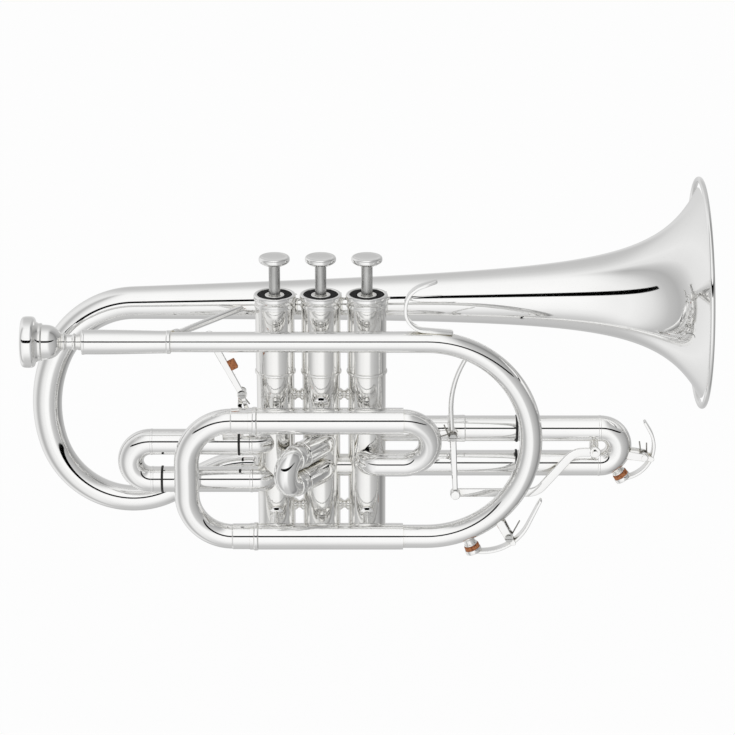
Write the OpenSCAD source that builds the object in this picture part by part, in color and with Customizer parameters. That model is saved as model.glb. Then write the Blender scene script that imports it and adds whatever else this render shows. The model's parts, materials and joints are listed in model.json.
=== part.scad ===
// Cornet with three top-sprung piston valves and a shepherd's crook bell tail.
// Millimetres. The origin is the centre of the bell mouth, +X points out of the bell
// and +Z points up along the valves. The player's right-hand side is -Y.

/* [Bell] */
// Diameter over the rolled rim of the bell mouth
bell_d = 119; // [112:0.5:126]
// Length of the bell from its mouth to the start of the tail bow
bell_len = 291.5; // [285:0.5:300]
// Angle by which the bell points up against the leadpipe
bell_tilt = 1.05; // [0:0.05:1.5]
// Thickness of the bell sheet
bell_wall = 0.6; // [0.4:0.05:0.8]

/* [Layout] */
// Distance from the bell mouth back to the middle valve's axis
valve_back = 195.3; // [190:0.1:200]
// Distance from the bell axis sideways to the valve axes
valve_side = 28; // [26:0.1:30]
// Height of the bell mouth's centre above the valve datum level
bell_up = 29.9; // [28:0.1:32]
// Distance between neighbouring valve axes
valve_pitch = 23.2; // [22.8:0.1:23.6]
// Sideways place of the leadpipe and the tuning slide
front_y = -23; // [-24:0.1:-22.6]

/* [Valves] */
// Outside radius of the lower valve casing
casing_r = 9.55; // [9.4:0.05:9.8]
// Outside radius of the upper valve casing
collar_r = 9.85; // [9.8:0.05:10]
// Radius of the casing bore
casing_bore_r = 8.6; // [8.5:0.05:8.7]
// Travel of a finger button
valve_stroke = 14.8; // [12:0.1:15]
// Radius of a valve stem
stem_r = 2.85; // [2.5:0.05:3]
// Radius of a finger button
button_r = 7.8; // [7:0.1:8.5]

/* [Tubes] */
// Height of the leadpipe's axis above the valve datum level
leadpipe_z = 21.4; // [21:0.1:22]
// Radius of the big bend at the front of the leadpipe, on its axis
big_bend_r = 52.6; // [52:0.1:53]
// Height of the tuning slide's upper leg
tuning_upper_z = -20.8; // [-21:0.1:-20.5]
// Radius of the tuning slide's two quarter bends, on their axis
tuning_bend_r = 23; // [20:0.5:25]
// Running clearance of each slide leg in its sleeve
slide_gap = 0.05; // [0.02:0.01:0.08]

/* [Triggers] */
// Pull of the first valve slide
first_pull = 7.4; // [5:0.1:8]
// Length of the first trigger's lower arm
first_arm = 13; // [12:0.5:14]
// Length of the third trigger's lower arm
third_arm = 32.6; // [32:0.1:33]

/* [Hidden] */
$fn = 64;

silver = [0.86, 0.86, 0.84];
bright_silver = [0.93, 0.93, 0.92];
steel = [0.55, 0.56, 0.58];
cork = [0.76, 0.47, 0.28];
black_felt = [0.06, 0.06, 0.07];
black_rubber = [0.08, 0.08, 0.08];
nylon = [0.85, 0.84, 0.78];

wall = 0.55;
overcut = 1;
pipe_r = 6;
sleeve_bore_r = pipe_r + slide_gap;
sleeve_r = sleeve_bore_r + wall;

// Valves, with heights measured from the valve datum level
casing_bottom = -87.5;
casing_step = -1.5;
casing_top = 32.5;
cap_top = 39;
felt_bottom = 37.4;
felt_top = 38.6;
felt_r = 8.75;
boss_r = 5;
piston_r = casing_bore_r - slide_gap;
piston_bottom = -70;
piston_top = -14;
barrel_r = 7.6;
barrel_wall = 0.7;
barrel_top = 13;
guide_top = piston_top + 3;
guide_height = 2;
button_bottom = 54;
button_height = 4.7;

// Tubes
receiver_x = [-118.7, -74.3];
leadpipe_end_x = 53.3;
leadpipe_r = [5, 5.45, 5.95];
tuning_lower_z = leadpipe_z - 2 * big_bend_r;
tuning_sleeve_x = [-34.4, 37.4];
tuning_sleeve_r = 6.8;
tuning_crook_r = 6.3;
entry_y = -16.2;
entry_z = -47.3;
slide_y = -7;
first_z = [-38.3, -58.9];
first_upper_x = -41.2;
first_lower_x = -80.7;
first_crook_x = -87;
third_z = [-33.7, -52.7];
third_sleeve_x = 99.2;
third_crook_x = 142.6;
second_z = [-38.9, -52.9];
second_angle = 55;
crossover_z = -53.8;
tail_y = 9;
tail_z = -56.1;

// Pivots of the triggers and water keys as [x, z]
first_pivot = [-39.7, -9.8];
first_swing = asin(first_pull / 2 / first_arm);
first_joint = first_pivot + first_arm * [sin(first_swing), -cos(first_swing)];
third_pivot = [66.8, -32.9];
third_lean = 2.8;
third_joint = third_pivot + third_arm * [sin(third_lean), -cos(third_lean)];
third_stay_x = 139.4;
third_stay_z = (third_z[0] + third_z[1]) / 2;
key_pivot = [95.4, -83.3];
third_key_pivot = [165.3, -48.6];

function valve_x(n) = (n - 2) * valve_pitch;

// Steps of a path that starts at the origin and heads along +X
function go(length, r0, r1, own_wall) = ["go", length, r0, is_undef(r1) ? r0 : r1, own_wall];
function turn(radius, angle, r) = ["turn", radius, angle, r];
function roll(angle) = ["roll", angle];

// Everything apart from the bell's flare is placed from the valve datum
module from_valves() {
  translate([-valve_back, -valve_side, -bell_up]) children();
}

// A tube that follows a list of steps. A positive turn goes to the left, towards local +Y.
// Where each step is narrower than the one before, they can lap by a small length.
module pipe(steps, thickness, lap = 0, i = 0) {
  if (i < len(steps)) {
    s = steps[i];
    if (s[0] == "go") {
      straight(s[1] + lap, s[2], s[3], is_undef(s[4]) ? thickness : s[4]);
      translate([s[1], 0, 0]) pipe(steps, thickness, lap, i + 1);
    }
    if (s[0] == "turn") {
      bend(s[1], s[2] + sign(s[2]) * lap / s[1] * 57.3) ring(s[3], thickness);
      after_bend(s[1], s[2]) pipe(steps, thickness, lap, i + 1);
    }
    if (s[0] == "roll") {
      rotate([s[1], 0, 0]) pipe(steps, thickness, lap, i + 1);
    }
  }
}

// Puts its child at the end of a path
module follow(steps, i = 0) {
  if (i == len(steps)) {
    children();
  }
  if (i < len(steps)) {
    s = steps[i];
    if (s[0] == "go") {
      translate([s[1], 0, 0]) follow(steps, i + 1) children();
    }
    if (s[0] == "turn") {
      after_bend(s[1], s[2]) follow(steps, i + 1) children();
    }
    if (s[0] == "roll") {
      rotate([s[1], 0, 0]) follow(steps, i + 1) children();
    }
  }
}

// The outline of a strip along a flat path that starts at a point with a heading
function walk(steps, p, a, i = 0) =
  i == len(steps) ? [[p, a]] :
  steps[i][0] == "go" ?
    concat([[p, a]], walk(steps, p + steps[i][1] * [cos(a), sin(a)], a, i + 1)) :
  let (
    side = sign(steps[i][2]),
    r = steps[i][1],
    count = ceil(abs(steps[i][2]) / 6),
    centre = p + side * r * [-sin(a), cos(a)]
  )
  concat(
    [
      for (k = [0:count - 1])
        let (b = a + steps[i][2] * k / count)
          [centre - side * r * [-sin(b), cos(b)], b]
    ],
    walk(
      steps,
      centre - side * r * [-sin(a + steps[i][2]), cos(a + steps[i][2])],
      a + steps[i][2],
      i + 1
    )
  );
module strip(steps, start, heading, width) {
  line = walk(steps, start, heading);
  polygon(concat(
    [for (q = line) q[0] + width / 2 * [-sin(q[1]), cos(q[1])]],
    [for (k = [len(line) - 1:-1:0]) line[k][0] - width / 2 * [-sin(line[k][1]), cos(line[k][1])]]
  ));
}

module ring(r, thickness) {
  difference() {
    circle(r);
    if (thickness < r) circle(r - thickness);
  }
}

module straight(length, r0, r1, thickness) {
  in0 = max(0, r0 - thickness);
  in1 = max(0, r1 - thickness);
  rotate([0, 90, 0])
    rotate_extrude() polygon([[in0, 0], [r0, 0], [r1, length], [in1, length]]);
}

module bend(radius, angle) {
  translate([0, sign(angle) * radius, 0])
    rotate([0, 0, angle > 0 ? -90 : 90 + angle])
      rotate_extrude(angle = abs(angle)) translate([radius, 0]) children();
}

module after_bend(radius, angle) {
  translate([radius * sin(abs(angle)), sign(angle) * radius * (1 - cos(angle)), 0])
    rotate([0, 0, angle]) children();
}

// A round bar between two points
module rod(a, b, r) {
  d = b - a;
  translate(a)
    rotate([0, acos(d[2] / norm(d)), atan2(d[1], d[0])]) cylinder(h = norm(d), r = r);
}

// A cylinder along Y between two sideways places, at [x, z]
module pin_y(at, y0, y1, r) {
  translate([at[0], y1, at[1]]) rotate([90, 0, 0]) cylinder(h = y1 - y0, r = r);
}

// A flat plate in the XZ plane between two sideways places; the child is its outline in x and z
module plate_y(y0, y1) {
  translate([0, y1, 0]) rotate([90, 0, 0]) linear_extrude(y1 - y0) children();
}

// A straight flat arm with round ends between two [x, z] points
module arm(a, b, half_width) {
  d = b - a;
  translate(a) circle(half_width);
  translate(b) circle(half_width);
  translate(a) rotate(atan2(d[1], d[0])) translate([0, -half_width]) square([norm(d), 2 * half_width]);
}

// ---------------------------------------------------------------- bell and its tail

// Outside radius of the bell at a distance from its mouth: a flaring horn on a slow taper
flare_gain = 40687;
flare_reach = 39;
flare_power = 1.85;
tail_cone_r = 11.56;
tail_taper = 0.014;
function flare_r(d) = flare_gain * pow(d + flare_reach, -flare_power) + tail_cone_r - tail_taper * d;
function flare_slope(d) = flare_power * flare_gain * pow(d + flare_reach, -flare_power - 1) + tail_taper;

// Stations along the bell, closer together at the mouth
flare_steps = 26;
outside_start = 1.9;
inside_start = 0.6;
function station(i, first) = first + (bell_len + 0.4 - first) * pow(i / flare_steps, 2);
function outside_at(d) = [flare_r(d), -d];
function inside_at(d) =
  let (lean = atan(flare_slope(d)))
  [flare_r(d) - bell_wall * cos(lean), min(0, bell_wall * sin(lean) - d)];

mouth_r = bell_d / 2;
bead_r = 1.4;
// The rim ends in a narrow flat, so that it can stand on a table
rim_flat = 0.8;
function bead_at(a) = [mouth_r - bead_r + bead_r * cos(a), -bead_r + bead_r * sin(a)];

// The tail bow is flat, and leans sideways from the bell's line to the first valve
bow_lean = atan2(valve_side - tail_y, bell_up - bell_len * sin(bell_tilt) - tail_z);
bow_height = norm([valve_side - tail_y, bell_up - bell_len * sin(bell_tilt) - tail_z]);
bow_r = [44.5, 63, 43.5];
bow_dip = 25;
// Heading from straight back, turning down, where each of the three bends begins and ends
bow_heading = [bell_tilt, 66, 108, 180 + bow_dip];
back_bend_r = 40;
tail_tube_r = 6.2;

// A bend sinks by its radius times the change in the cosine of the heading
function bow_drop(i) = bow_r[i] * (cos(bow_heading[i]) - cos(bow_heading[i + 1]));
bow_rise = bow_drop(0) + bow_drop(1) + bow_drop(2) - bow_height - back_bend_r * (1 - cos(bow_dip));
// The tube narrows a little with every part of each bend
bow_parts = 3;
function bow_tube_r(i, j) =
  flare_r(bell_len) - (flare_r(bell_len) - tail_tube_r - 0.6) * (i * bow_parts + j + 0.5) / (3 * bow_parts);
bow_steps = concat(
  [roll(bow_lean - 90)],
  [
    for (i = [0:2])
      for (j = [0:bow_parts - 1])
        turn(bow_r[i], (bow_heading[i + 1] - bow_heading[i]) / bow_parts, bow_tube_r(i, j))
  ],
  [
    go(bow_rise / sin(bow_dip), tail_tube_r + 0.15)
  ]
);
// Its end levels out and then turns towards the first valve's axis
tail_turn = 45;
tail_end = [
  turn(back_bend_r, -bow_dip, tail_tube_r + 0.1),
  go(2.4, tail_tube_r + 0.05),
  roll(90 + bow_lean),
  turn(9, tail_turn, tail_tube_r),
  go(5, tail_tube_r - 0.05)
];

module at_bow() {
  translate([-bell_len, 0, 0]) rotate([0, 0, 180]) children();
}

module bell() {
  color(bright_silver) {
    rotate([0, -bell_tilt, 0]) {
      rotate([0, 90, 0])
        rotate_extrude()
          polygon(concat(
            [for (i = [flare_steps:-1:0]) outside_at(station(i, outside_start))],
            [for (a = [180:30:420]) bead_at(a)],
            [[mouth_r - bead_r + rim_flat / 2, 0], [mouth_r - bead_r - rim_flat / 2, 0]],
            [for (i = [0:flare_steps]) inside_at(station(i, inside_start))]
          ));
      at_bow() pipe(bow_steps, bell_wall, 0.5);
    }
    difference() {
      rotate([0, -bell_tilt, 0]) at_bow() follow(bow_steps) pipe(tail_end, bell_wall, 0.3);
      from_valves() casing_space(1);
    }
  }
}

// ---------------------------------------------------------------- valves

// The room that a casing takes up, used to seat other tubes on its outside
module casing_space(n) {
  translate([valve_x(n), 0, casing_bottom]) cylinder(h = casing_step - casing_bottom, r = casing_r);
  translate([valve_x(n), 0, casing_step]) cylinder(h = casing_top - casing_step, r = collar_r);
}

// A hole through one side of a casing, along a direction in the XY plane
module port(n, z, angle, r, offset = 0) {
  translate([valve_x(n), 0, z])
    rotate([0, 0, angle]) translate([0, offset, 0]) rotate([0, 90, 0]) cylinder(h = 2 * casing_r, r = r);
}

// How far beside a casing's axis a tube passes, once it has turned from +X at a small elbow
tube_bore_r = 5.4;
elbow_r = 7.5;
function beside(x, y, n, angle) =
  (x + elbow_r * sin(angle) - valve_x(n)) * sin(angle) - (y + elbow_r * (1 - cos(angle))) * cos(angle);

module casing(n) {
  bead = 0.5;
  difference() {
    union() {
      casing_space(n);
      translate([valve_x(n), 0, casing_step - 1.2]) cylinder(h = 1.2, r = collar_r + bead);
    }
    translate([valve_x(n), 0, casing_bottom - overcut])
      cylinder(h = casing_top - casing_bottom + 2 * overcut, r = casing_bore_r);
    children();
  }
}

crossover_r = 5.7;
crossover_bore = crossover_r - wall;

module valve_casing_1() {
  color(silver) from_valves() casing(1) {
    port(1, crossover_z, 0, crossover_bore);
    port(1, tail_z, 180 - tail_turn, tail_tube_r - bell_wall);
    port(1, first_z[0], 180 + first_turn, tube_bore_r, beside(first_upper_turn_x, slide_y, 1, first_turn));
    port(1, first_z[1], 180 + first_turn, tube_bore_r, beside(first_lower_turn_x, slide_y, 1, first_turn));
  }
}

module valve_casing_2() {
  color(silver) from_valves() casing(2) {
    port(2, crossover_z, 0, crossover_bore);
    port(2, crossover_z, 180, crossover_bore);
    for (z = second_z) port(2, z, 270, tube_bore_r, second_entry_x);
  }
}

module valve_casing_3() {
  color(silver) from_valves() casing(3) {
    port(3, crossover_z, 180, crossover_bore);
    for (z = third_z) port(3, z, 0, pipe_r - wall);
    port(3, entry_z, 270, tube_bore_r);
  }
}

module crossover_tubes() {
  color(silver) from_valves()
    for (n = [1, 2])
      difference() {
        translate([valve_x(n), 0, crossover_z]) straight(valve_pitch, crossover_r, crossover_r, wall);
        casing_space(n);
        casing_space(n + 1);
      }
}

brace_z = [-14.9, -75.5];
module casing_braces() {
  brace_r = 2;
  foot_r = 3.1;
  foot = 0.9;
  color(silver) from_valves()
    for (n = [1, 2])
      for (z = brace_z)
        difference() {
          translate([valve_x(n), 0, z]) union() {
            straight(valve_pitch, brace_r, brace_r, brace_r);
            straight(casing_r + foot, foot_r, foot_r, foot_r);
            translate([valve_pitch - casing_r - foot, 0, 0])
              straight(casing_r + foot, foot_r, foot_r, foot_r);
          }
          casing_space(n);
          casing_space(n + 1);
        }
}

module at_each_valve() {
  for (n = [1:3]) translate([valve_x(n), 0, 0]) children();
}

module top_caps() {
  stem_hole = stem_r + 0.08;
  plug_r = casing_bore_r - 0.05;
  plug_wall = 1.6;
  plug = 4;
  bead = 0.9;
  rim_r = 10.65;
  neck_r = 10.05;
  plate = 2;
  color(silver) from_valves() at_each_valve()
    rotate_extrude() polygon(concat(
      [
        [plug_r, casing_top - plug],
        [plug_r, casing_top],
        [neck_r + 0.2, casing_top],
        [neck_r + 0.2, casing_top + 1],
        [neck_r - 0.1, casing_top + 1.4],
        [neck_r, casing_top + 2.6],
        [rim_r, cap_top - 2.4]
      ],
      [for (a = [0:30:90]) [rim_r - bead + bead * cos(a), cap_top - bead + bead * sin(a)]],
      [
        [felt_r, cap_top],
        [felt_r, felt_bottom],
        [boss_r, felt_bottom],
        [boss_r, felt_bottom + 0.9],
        [stem_hole + 0.6, felt_bottom + 1.1],
        [stem_hole, felt_bottom + 0.8],
        [stem_hole, felt_bottom - plate],
        [plug_r - plug_wall, felt_bottom - plate],
        [plug_r - plug_wall, casing_top - plug]
      ]
    ));
}

module cap_felts() {
  color(black_felt) from_valves() at_each_valve()
    translate([0, 0, felt_bottom])
      rotate_extrude() translate([boss_r, 0]) square([felt_r - boss_r, felt_top - felt_bottom]);
}

module bottom_caps() {
  cap_r = 9.95;
  cap_height = 4.5;
  plug = 2;
  color(silver) from_valves() at_each_valve()
    difference() {
      rotate_extrude() polygon([
        [0, casing_bottom - cap_height],
        [3, casing_bottom - cap_height],
        [4.2, casing_bottom - cap_height + 0.8],
        [7.6, casing_bottom - cap_height + 0.8],
        [9.2, casing_bottom - cap_height + 1.2],
        [cap_r, casing_bottom - cap_height + 2],
        [cap_r, casing_bottom],
        [casing_bore_r - 0.05, casing_bottom],
        [casing_bore_r - 0.05, casing_bottom + plug],
        [7.2, casing_bottom + plug],
        [7.2, casing_bottom - 2],
        [0, casing_bottom - 2]
      ]);
      translate([0, 0, casing_bottom - cap_height - overcut]) cylinder(h = cap_height + 2 * overcut, r = 1);
    }
}

slot_width = 4.4;
module piston(n) {
  passage_r = 5.5;
  barrel_bore = barrel_r - barrel_wall;
  slot_top = guide_top + valve_stroke + 0.6;
  passages = [[crossover_z, 0], [crossover_z + 12.3, 90], [crossover_z + 24.6, 35]];
  color(steel) from_valves() translate([valve_x(n), 0, 0])
    difference() {
      union() {
        translate([0, 0, piston_bottom]) cylinder(h = piston_top - piston_bottom, r = piston_r);
        translate([0, 0, piston_top]) cylinder(h = barrel_top - piston_top, r = barrel_r);
      }
      translate([0, 0, piston_bottom - overcut]) cylinder(h = 8 + overcut, r = piston_r - 1.2);
      translate([0, 0, piston_top]) cylinder(h = barrel_top - piston_top + overcut, r = barrel_bore);
      translate([-piston_r, -slot_width / 2, piston_top + 0.5])
        cube([2 * piston_r, slot_width, slot_top - piston_top - 0.5]);
      for (p = passages)
        translate([0, 0, p[0]]) rotate([90, 0, p[1] + 90])
          cylinder(h = 3 * piston_r, r = passage_r, center = true);
    }
}
module piston_1() piston(1);
module piston_2() piston(2);
module piston_3() piston(3);

module valve_guides() {
  arm_width = slot_width - 0.4;
  hub_r = 5;
  color(nylon) from_valves() at_each_valve()
    translate([0, 0, guide_top - guide_height])
      difference() {
        union() {
          cylinder(h = guide_height, r = hub_r);
          intersection() {
            translate([-casing_bore_r, -arm_width / 2, 0]) cube([2 * casing_bore_r, arm_width, guide_height]);
            cylinder(h = guide_height, r = casing_bore_r - 0.02);
          }
        }
        translate([0, 0, -overcut]) cylinder(h = guide_height + 2 * overcut, r = 2.6);
      }
}

module valve_stem(n) {
  flange = 2;
  color(steel) from_valves() translate([valve_x(n), 0, barrel_top]) {
    cylinder(h = flange, r = barrel_r);
    translate([0, 0, flange]) cylinder(h = button_bottom - barrel_top - flange, r = stem_r);
  }
}
module valve_stem_1() valve_stem(1);
module valve_stem_2() valve_stem(2);
module valve_stem_3() valve_stem(3);

module finger_button(n) {
  edge = 1.1;
  dish = 0.7;
  edge_z = button_height - edge;
  color(bright_silver) from_valves() translate([valve_x(n), 0, button_bottom])
    rotate_extrude() polygon(concat(
      [[0, 0], [stem_r + 0.8, 0], [5.2, 0.7], [6.8, 2]],
      [for (a = [-60:30:90]) [button_r - edge + edge * cos(a), edge_z + edge * sin(a)]],
      [[6.3, button_height], [5.9, button_height - 0.35], [3, button_height - dish], [0, button_height - dish]]
    ));
}
module finger_button_1() finger_button(1);
module finger_button_2() finger_button(2);
module finger_button_3() finger_button(3);

// A helical wire as a closed surface, its section points carried along the coil
module coil(height, r, wire_r, turns) {
  around = 12;
  sides = 5;
  last = turns * around;
  pts = [
    for (i = [0:last])
      let (a = 360 * i / around, z = wire_r + (height - 2 * wire_r) * i / last)
        for (k = [0:sides - 1])
          let (b = 360 * k / sides, q = r + wire_r * cos(b))
            [q * cos(a), q * sin(a), z + wire_r * sin(b)]
  ];
  sides_quads = [
    for (i = [0:last - 1])
      for (k = [0:sides - 1])
        let (m = (k + 1) % sides)
          [i * sides + k, i * sides + m, (i + 1) * sides + m, (i + 1) * sides + k]
  ];
  ends = [[for (k = [sides - 1:-1:0]) k], [for (k = [0:sides - 1]) last * sides + k]];
  polyhedron(points = pts, faces = concat(sides_quads, ends));
}

module valve_spring(n) {
  color(steel) from_valves() translate([valve_x(n), 0, guide_top])
    coil(height = barrel_top - guide_top, r = 4, wire_r = 0.45, turns = 8);
}
module valve_spring_1() valve_spring(1);
module valve_spring_2() valve_spring(2);
module valve_spring_3() valve_spring(3);

// ---------------------------------------------------------------- leadpipe and tuning slide

leadpipe_socket = 5;
module leadpipe() {
  parts = 6;
  steps = concat(
    [go(leadpipe_end_x - receiver_x[1], leadpipe_r[0], leadpipe_r[1]), roll(-90)],
    [
      for (i = [0:parts - 1])
        turn(big_bend_r, 180 / parts, leadpipe_r[1] + (leadpipe_r[2] - leadpipe_r[1]) * (i + 0.5) / parts)
    ],
    [go(leadpipe_end_x - tuning_sleeve_x[1] + leadpipe_socket, leadpipe_r[2])]
  );
  color(bright_silver) from_valves()
    difference() {
      translate([receiver_x[1], front_y, leadpipe_z]) pipe(steps, 0.5);
      at_main_nipple() cylinder(h = 20, r = nipple_foot_r + 0.02, center = true);
    }
}

receiver_r = [6.3, 5.6];
shank_r = 4.1;
module mouthpiece_receiver() {
  depth = 24;
  length = receiver_x[1] - receiver_x[0];
  color(bright_silver) from_valves() translate([receiver_x[0], front_y, leadpipe_z])
    rotate([0, 90, 0]) rotate_extrude() polygon([
      [shank_r + slide_gap, 0],
      [receiver_r[0] - 0.3, 0],
      [receiver_r[0], 0.8],
      [receiver_r[0] - 0.15, 8],
      [receiver_r[1], length],
      [leadpipe_r[0] - 0.5, length],
      [leadpipe_r[0] - 0.5, depth],
      [shank_r + slide_gap, depth]
    ]);
}

// Outline of the mouthpiece as radius and distance from its rim
rim_face_x = -148.6;
mouthpiece_rim_r = 12.8;
module mouthpiece() {
  shank_end = 52.4;
  throat_r = 1.9;
  backbore_r = 3.2;
  cup_depth = 11;
  cup_r = 8.2;
  color(bright_silver) from_valves() translate([rim_face_x, front_y, leadpipe_z])
    rotate([0, 90, 0]) rotate_extrude() polygon(concat(
      [for (a = [150:-30:0]) [mouthpiece_rim_r - 2 + 2 * cos(a), 2 - 2 * sin(a)]],
      [
        [mouthpiece_rim_r, 5],
        [mouthpiece_rim_r - 0.8, 6.4],
        [9.9, 7.1],
        [9.1, 8.6],
        [8.9, 10],
        [8.8, 13],
        [8.2, 15.2],
        [6.6, 17],
        [4.8, 18.2],
        [4.1, 19.4],
        [4.4, 20.2],
        [4.4, 21.2],
        [3.9, 22],
        [3.7, 25.6],
        [4, 26],
        [3.9, 26.8],
        [3.8, 29.2],
        [shank_r, 30],
        [shank_r, shank_end],
        [backbore_r, shank_end],
        [throat_r, cup_depth + 9]
      ],
      [for (a = [0:30:60]) [throat_r + (cup_r - throat_r) * sin(a), 1.2 + (cup_depth + 3) * cos(a)]],
      [[cup_r, 2.4]]
    ));
}

module tuning_sleeve(z) {
  length = tuning_sleeve_x[1] - tuning_sleeve_x[0];
  bead = 0.45;
  bead_width = 2.4;
  translate([tuning_sleeve_x[0], front_y, z]) {
    straight(length, tuning_sleeve_r, tuning_sleeve_r, tuning_sleeve_r - sleeve_bore_r);
    rotate([0, 90, 0]) rotate_extrude() polygon([
      [tuning_sleeve_r - 0.1, 0],
      [tuning_sleeve_r + bead / 2, 0],
      [tuning_sleeve_r + bead, 0.7],
      [tuning_sleeve_r + bead, bead_width - 0.7],
      [tuning_sleeve_r - 0.1, bead_width]
    ]);
  }
}
module tuning_sleeve_upper() {
  color(bright_silver) from_valves() tuning_sleeve(tuning_upper_z);
}
module tuning_sleeve_lower() {
  color(bright_silver) from_valves() tuning_sleeve(tuning_lower_z);
}

tuning_leg = 55;
tuning_ferrule_x = -45;
module tuning_slide() {
  drop = tuning_upper_z - tuning_lower_z - 2 * tuning_bend_r;
  ferrule_r = 6.6;
  leg = go(tuning_leg, pipe_r);
  ferrule = go(tuning_sleeve_x[0] - 0.2 - tuning_ferrule_x, ferrule_r, ferrule_r, ferrule_r - pipe_r + 0.6);
  quarter = turn(tuning_bend_r, 90, tuning_crook_r);
  color(bright_silver) from_valves()
    translate([tuning_sleeve_x[0] - 0.2 + tuning_leg, front_y, tuning_upper_z])
      rotate([0, 0, 180])
        pipe([leg, ferrule, roll(-90), quarter, go(drop, tuning_crook_r), quarter, ferrule, leg], 0.6);
}

// From the upper sleeve, round a small bend that leans back, and into the third casing
entry_bend_r = norm([front_y - entry_y, tuning_upper_z - entry_z]) / 2;
entry_lean = atan2(entry_z - tuning_upper_z, entry_y - front_y);
entry_insert = 5;
entry_run = 4;
entry_elbow_r = 6.2;
// Each step is a little narrower than the one before, so that they lap
function entry_r(i) = pipe_r - 0.05 - 0.02 * i;
entry_steps = [
  go(entry_insert + entry_run, entry_r(0)),
  roll(entry_lean),
  turn(entry_bend_r, 90, entry_r(1)),
  turn(entry_bend_r, 90, entry_r(2)),
  roll(180 + entry_lean),
  go(tuning_sleeve_x[1] + entry_run - entry_elbow_r - valve_pitch, entry_r(3)),
  turn(entry_elbow_r, 90, entry_r(4))
];
entry_end = [go(7, entry_r(5))];
module at_entry() {
  translate([tuning_sleeve_x[1] - entry_insert, front_y, tuning_upper_z]) children();
}
module valve_entry_bend() {
  color(bright_silver) from_valves()
    union() {
      at_entry() pipe(entry_steps, wall, 0.3);
      difference() {
        at_entry() follow(entry_steps) pipe(entry_end, wall);
        casing_space(3);
      }
    }
}

// ---------------------------------------------------------------- valve slides

// The upper leg's slide tube runs over a fixed tube, and the lower leg runs in a fixed sleeve
first_turn = 45;
first_upper_turn_x = -33.9;
first_lower_turn_x = -33.3;
first_end = [turn(elbow_r, first_turn, sleeve_r - 0.04), go(6, sleeve_r - 0.08)];
module at_first_upper() {
  translate([first_upper_x, slide_y, first_z[0]]) children();
}
module at_first_lower() {
  translate([first_lower_x, slide_y, first_z[1]]) children();
}
first_leg = 36;
module first_slide_tubes() {
  color(silver) from_valves()
    union() {
      at_first_upper() translate([-first_leg, 0, 0]) straight(first_leg, pipe_r, pipe_r, wall);
      at_first_upper() straight(3, sleeve_r, sleeve_r, sleeve_r - pipe_r + wall);
      at_first_upper() translate([3, 0, 0])
        straight(first_upper_turn_x - first_upper_x - 3, sleeve_r, sleeve_r, wall);
      at_first_lower() straight(first_lower_turn_x - first_lower_x, sleeve_r, sleeve_r, wall);
      difference() {
        union() {
          translate([first_upper_turn_x, slide_y, first_z[0]]) pipe(first_end, wall);
          translate([first_lower_turn_x, slide_y, first_z[1]]) pipe(first_end, wall);
        }
        casing_space(1);
      }
    }
}

ring_width = 1.1;
module first_slide() {
  crook_r = (first_z[0] - first_z[1]) / 2;
  upper = first_upper_x - ring_width - first_crook_x;
  lower = first_lower_x - ring_width - first_crook_x;
  color(silver) from_valves() {
    translate([first_upper_x - ring_width, slide_y, first_z[0]]) rotate([0, 0, 180])
      pipe([go(upper, sleeve_r), roll(-90), turn(crook_r, 180, sleeve_r), go(lower, sleeve_r)], wall);
    translate([first_lower_x - ring_width, slide_y, first_z[1]]) {
      translate([-lower, 0, 0]) straight(lower, sleeve_r - 0.3, sleeve_r - 0.3, 1);
      straight(first_leg, pipe_r, pipe_r, wall);
    }
    first_link_lug();
  }
}

// An eye that stands up from the slide's upper tube and holds the trigger's link
link_lug_x = -52;
link_y = [-12.9, -11.5];
module first_link_lug() {
  difference() {
    plate_y(link_y[0], link_y[1]) arm([link_lug_x, first_joint[1]], [link_lug_x, first_z[0] + 2], 1.8);
    translate([link_lug_x - 20, slide_y, first_z[0]]) rotate([0, 90, 0]) cylinder(h = 40, r = sleeve_r - 0.1);
    plate_y(link_y[0] - 1, link_y[1] + 1) translate([link_lug_x, first_joint[1]]) circle(1.05);
  }
}

module slide_ring(x, y, z) {
  translate([x - ring_width + 0.05, y, z]) rotate([0, 90, 0]) rotate_extrude()
    translate([pipe_r + 0.03, 0]) square([sleeve_r - pipe_r + 0.15, ring_width - 0.1]);
}
module first_slide_rings() {
  color(black_rubber) from_valves() {
    slide_ring(first_upper_x, slide_y, first_z[0]);
    slide_ring(first_lower_x, slide_y, first_z[1]);
  }
}

// The second slide points forward to the player's right and back, between the tuning slide's legs
second_mouth = [-1.4, -11.2];
second_sleeve = 15;
second_reach = 21;
second_turn_r = 12;
second_entry_x = second_mouth[0] + second_turn_r * (sin(90 - second_angle) * cos(second_angle)
  - (1 - cos(90 - second_angle)) * sin(second_angle));
module at_second(z) {
  translate([
    second_mouth[0] - second_sleeve * cos(second_angle),
    second_mouth[1] - second_sleeve * sin(second_angle),
    z
  ]) rotate([0, 0, second_angle]) children();
}
module second_slide_tubes() {
  stop = 1.2;
  stop_r = sleeve_r + 0.3;
  color(silver) from_valves()
    for (z = second_z) {
      difference() {
        at_second(z)
          pipe([go(stop, stop_r, stop_r, wall + 0.3), go(second_sleeve - stop, sleeve_r)], wall);
        casing_space(2);
      }
      difference() {
        at_second(z) translate([second_sleeve, 0, 0])
          pipe([turn(second_turn_r, 90 - second_angle, sleeve_r), go(3, sleeve_r)], wall);
        casing_space(2);
      }
    }
}
second_leg = 13;
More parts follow.
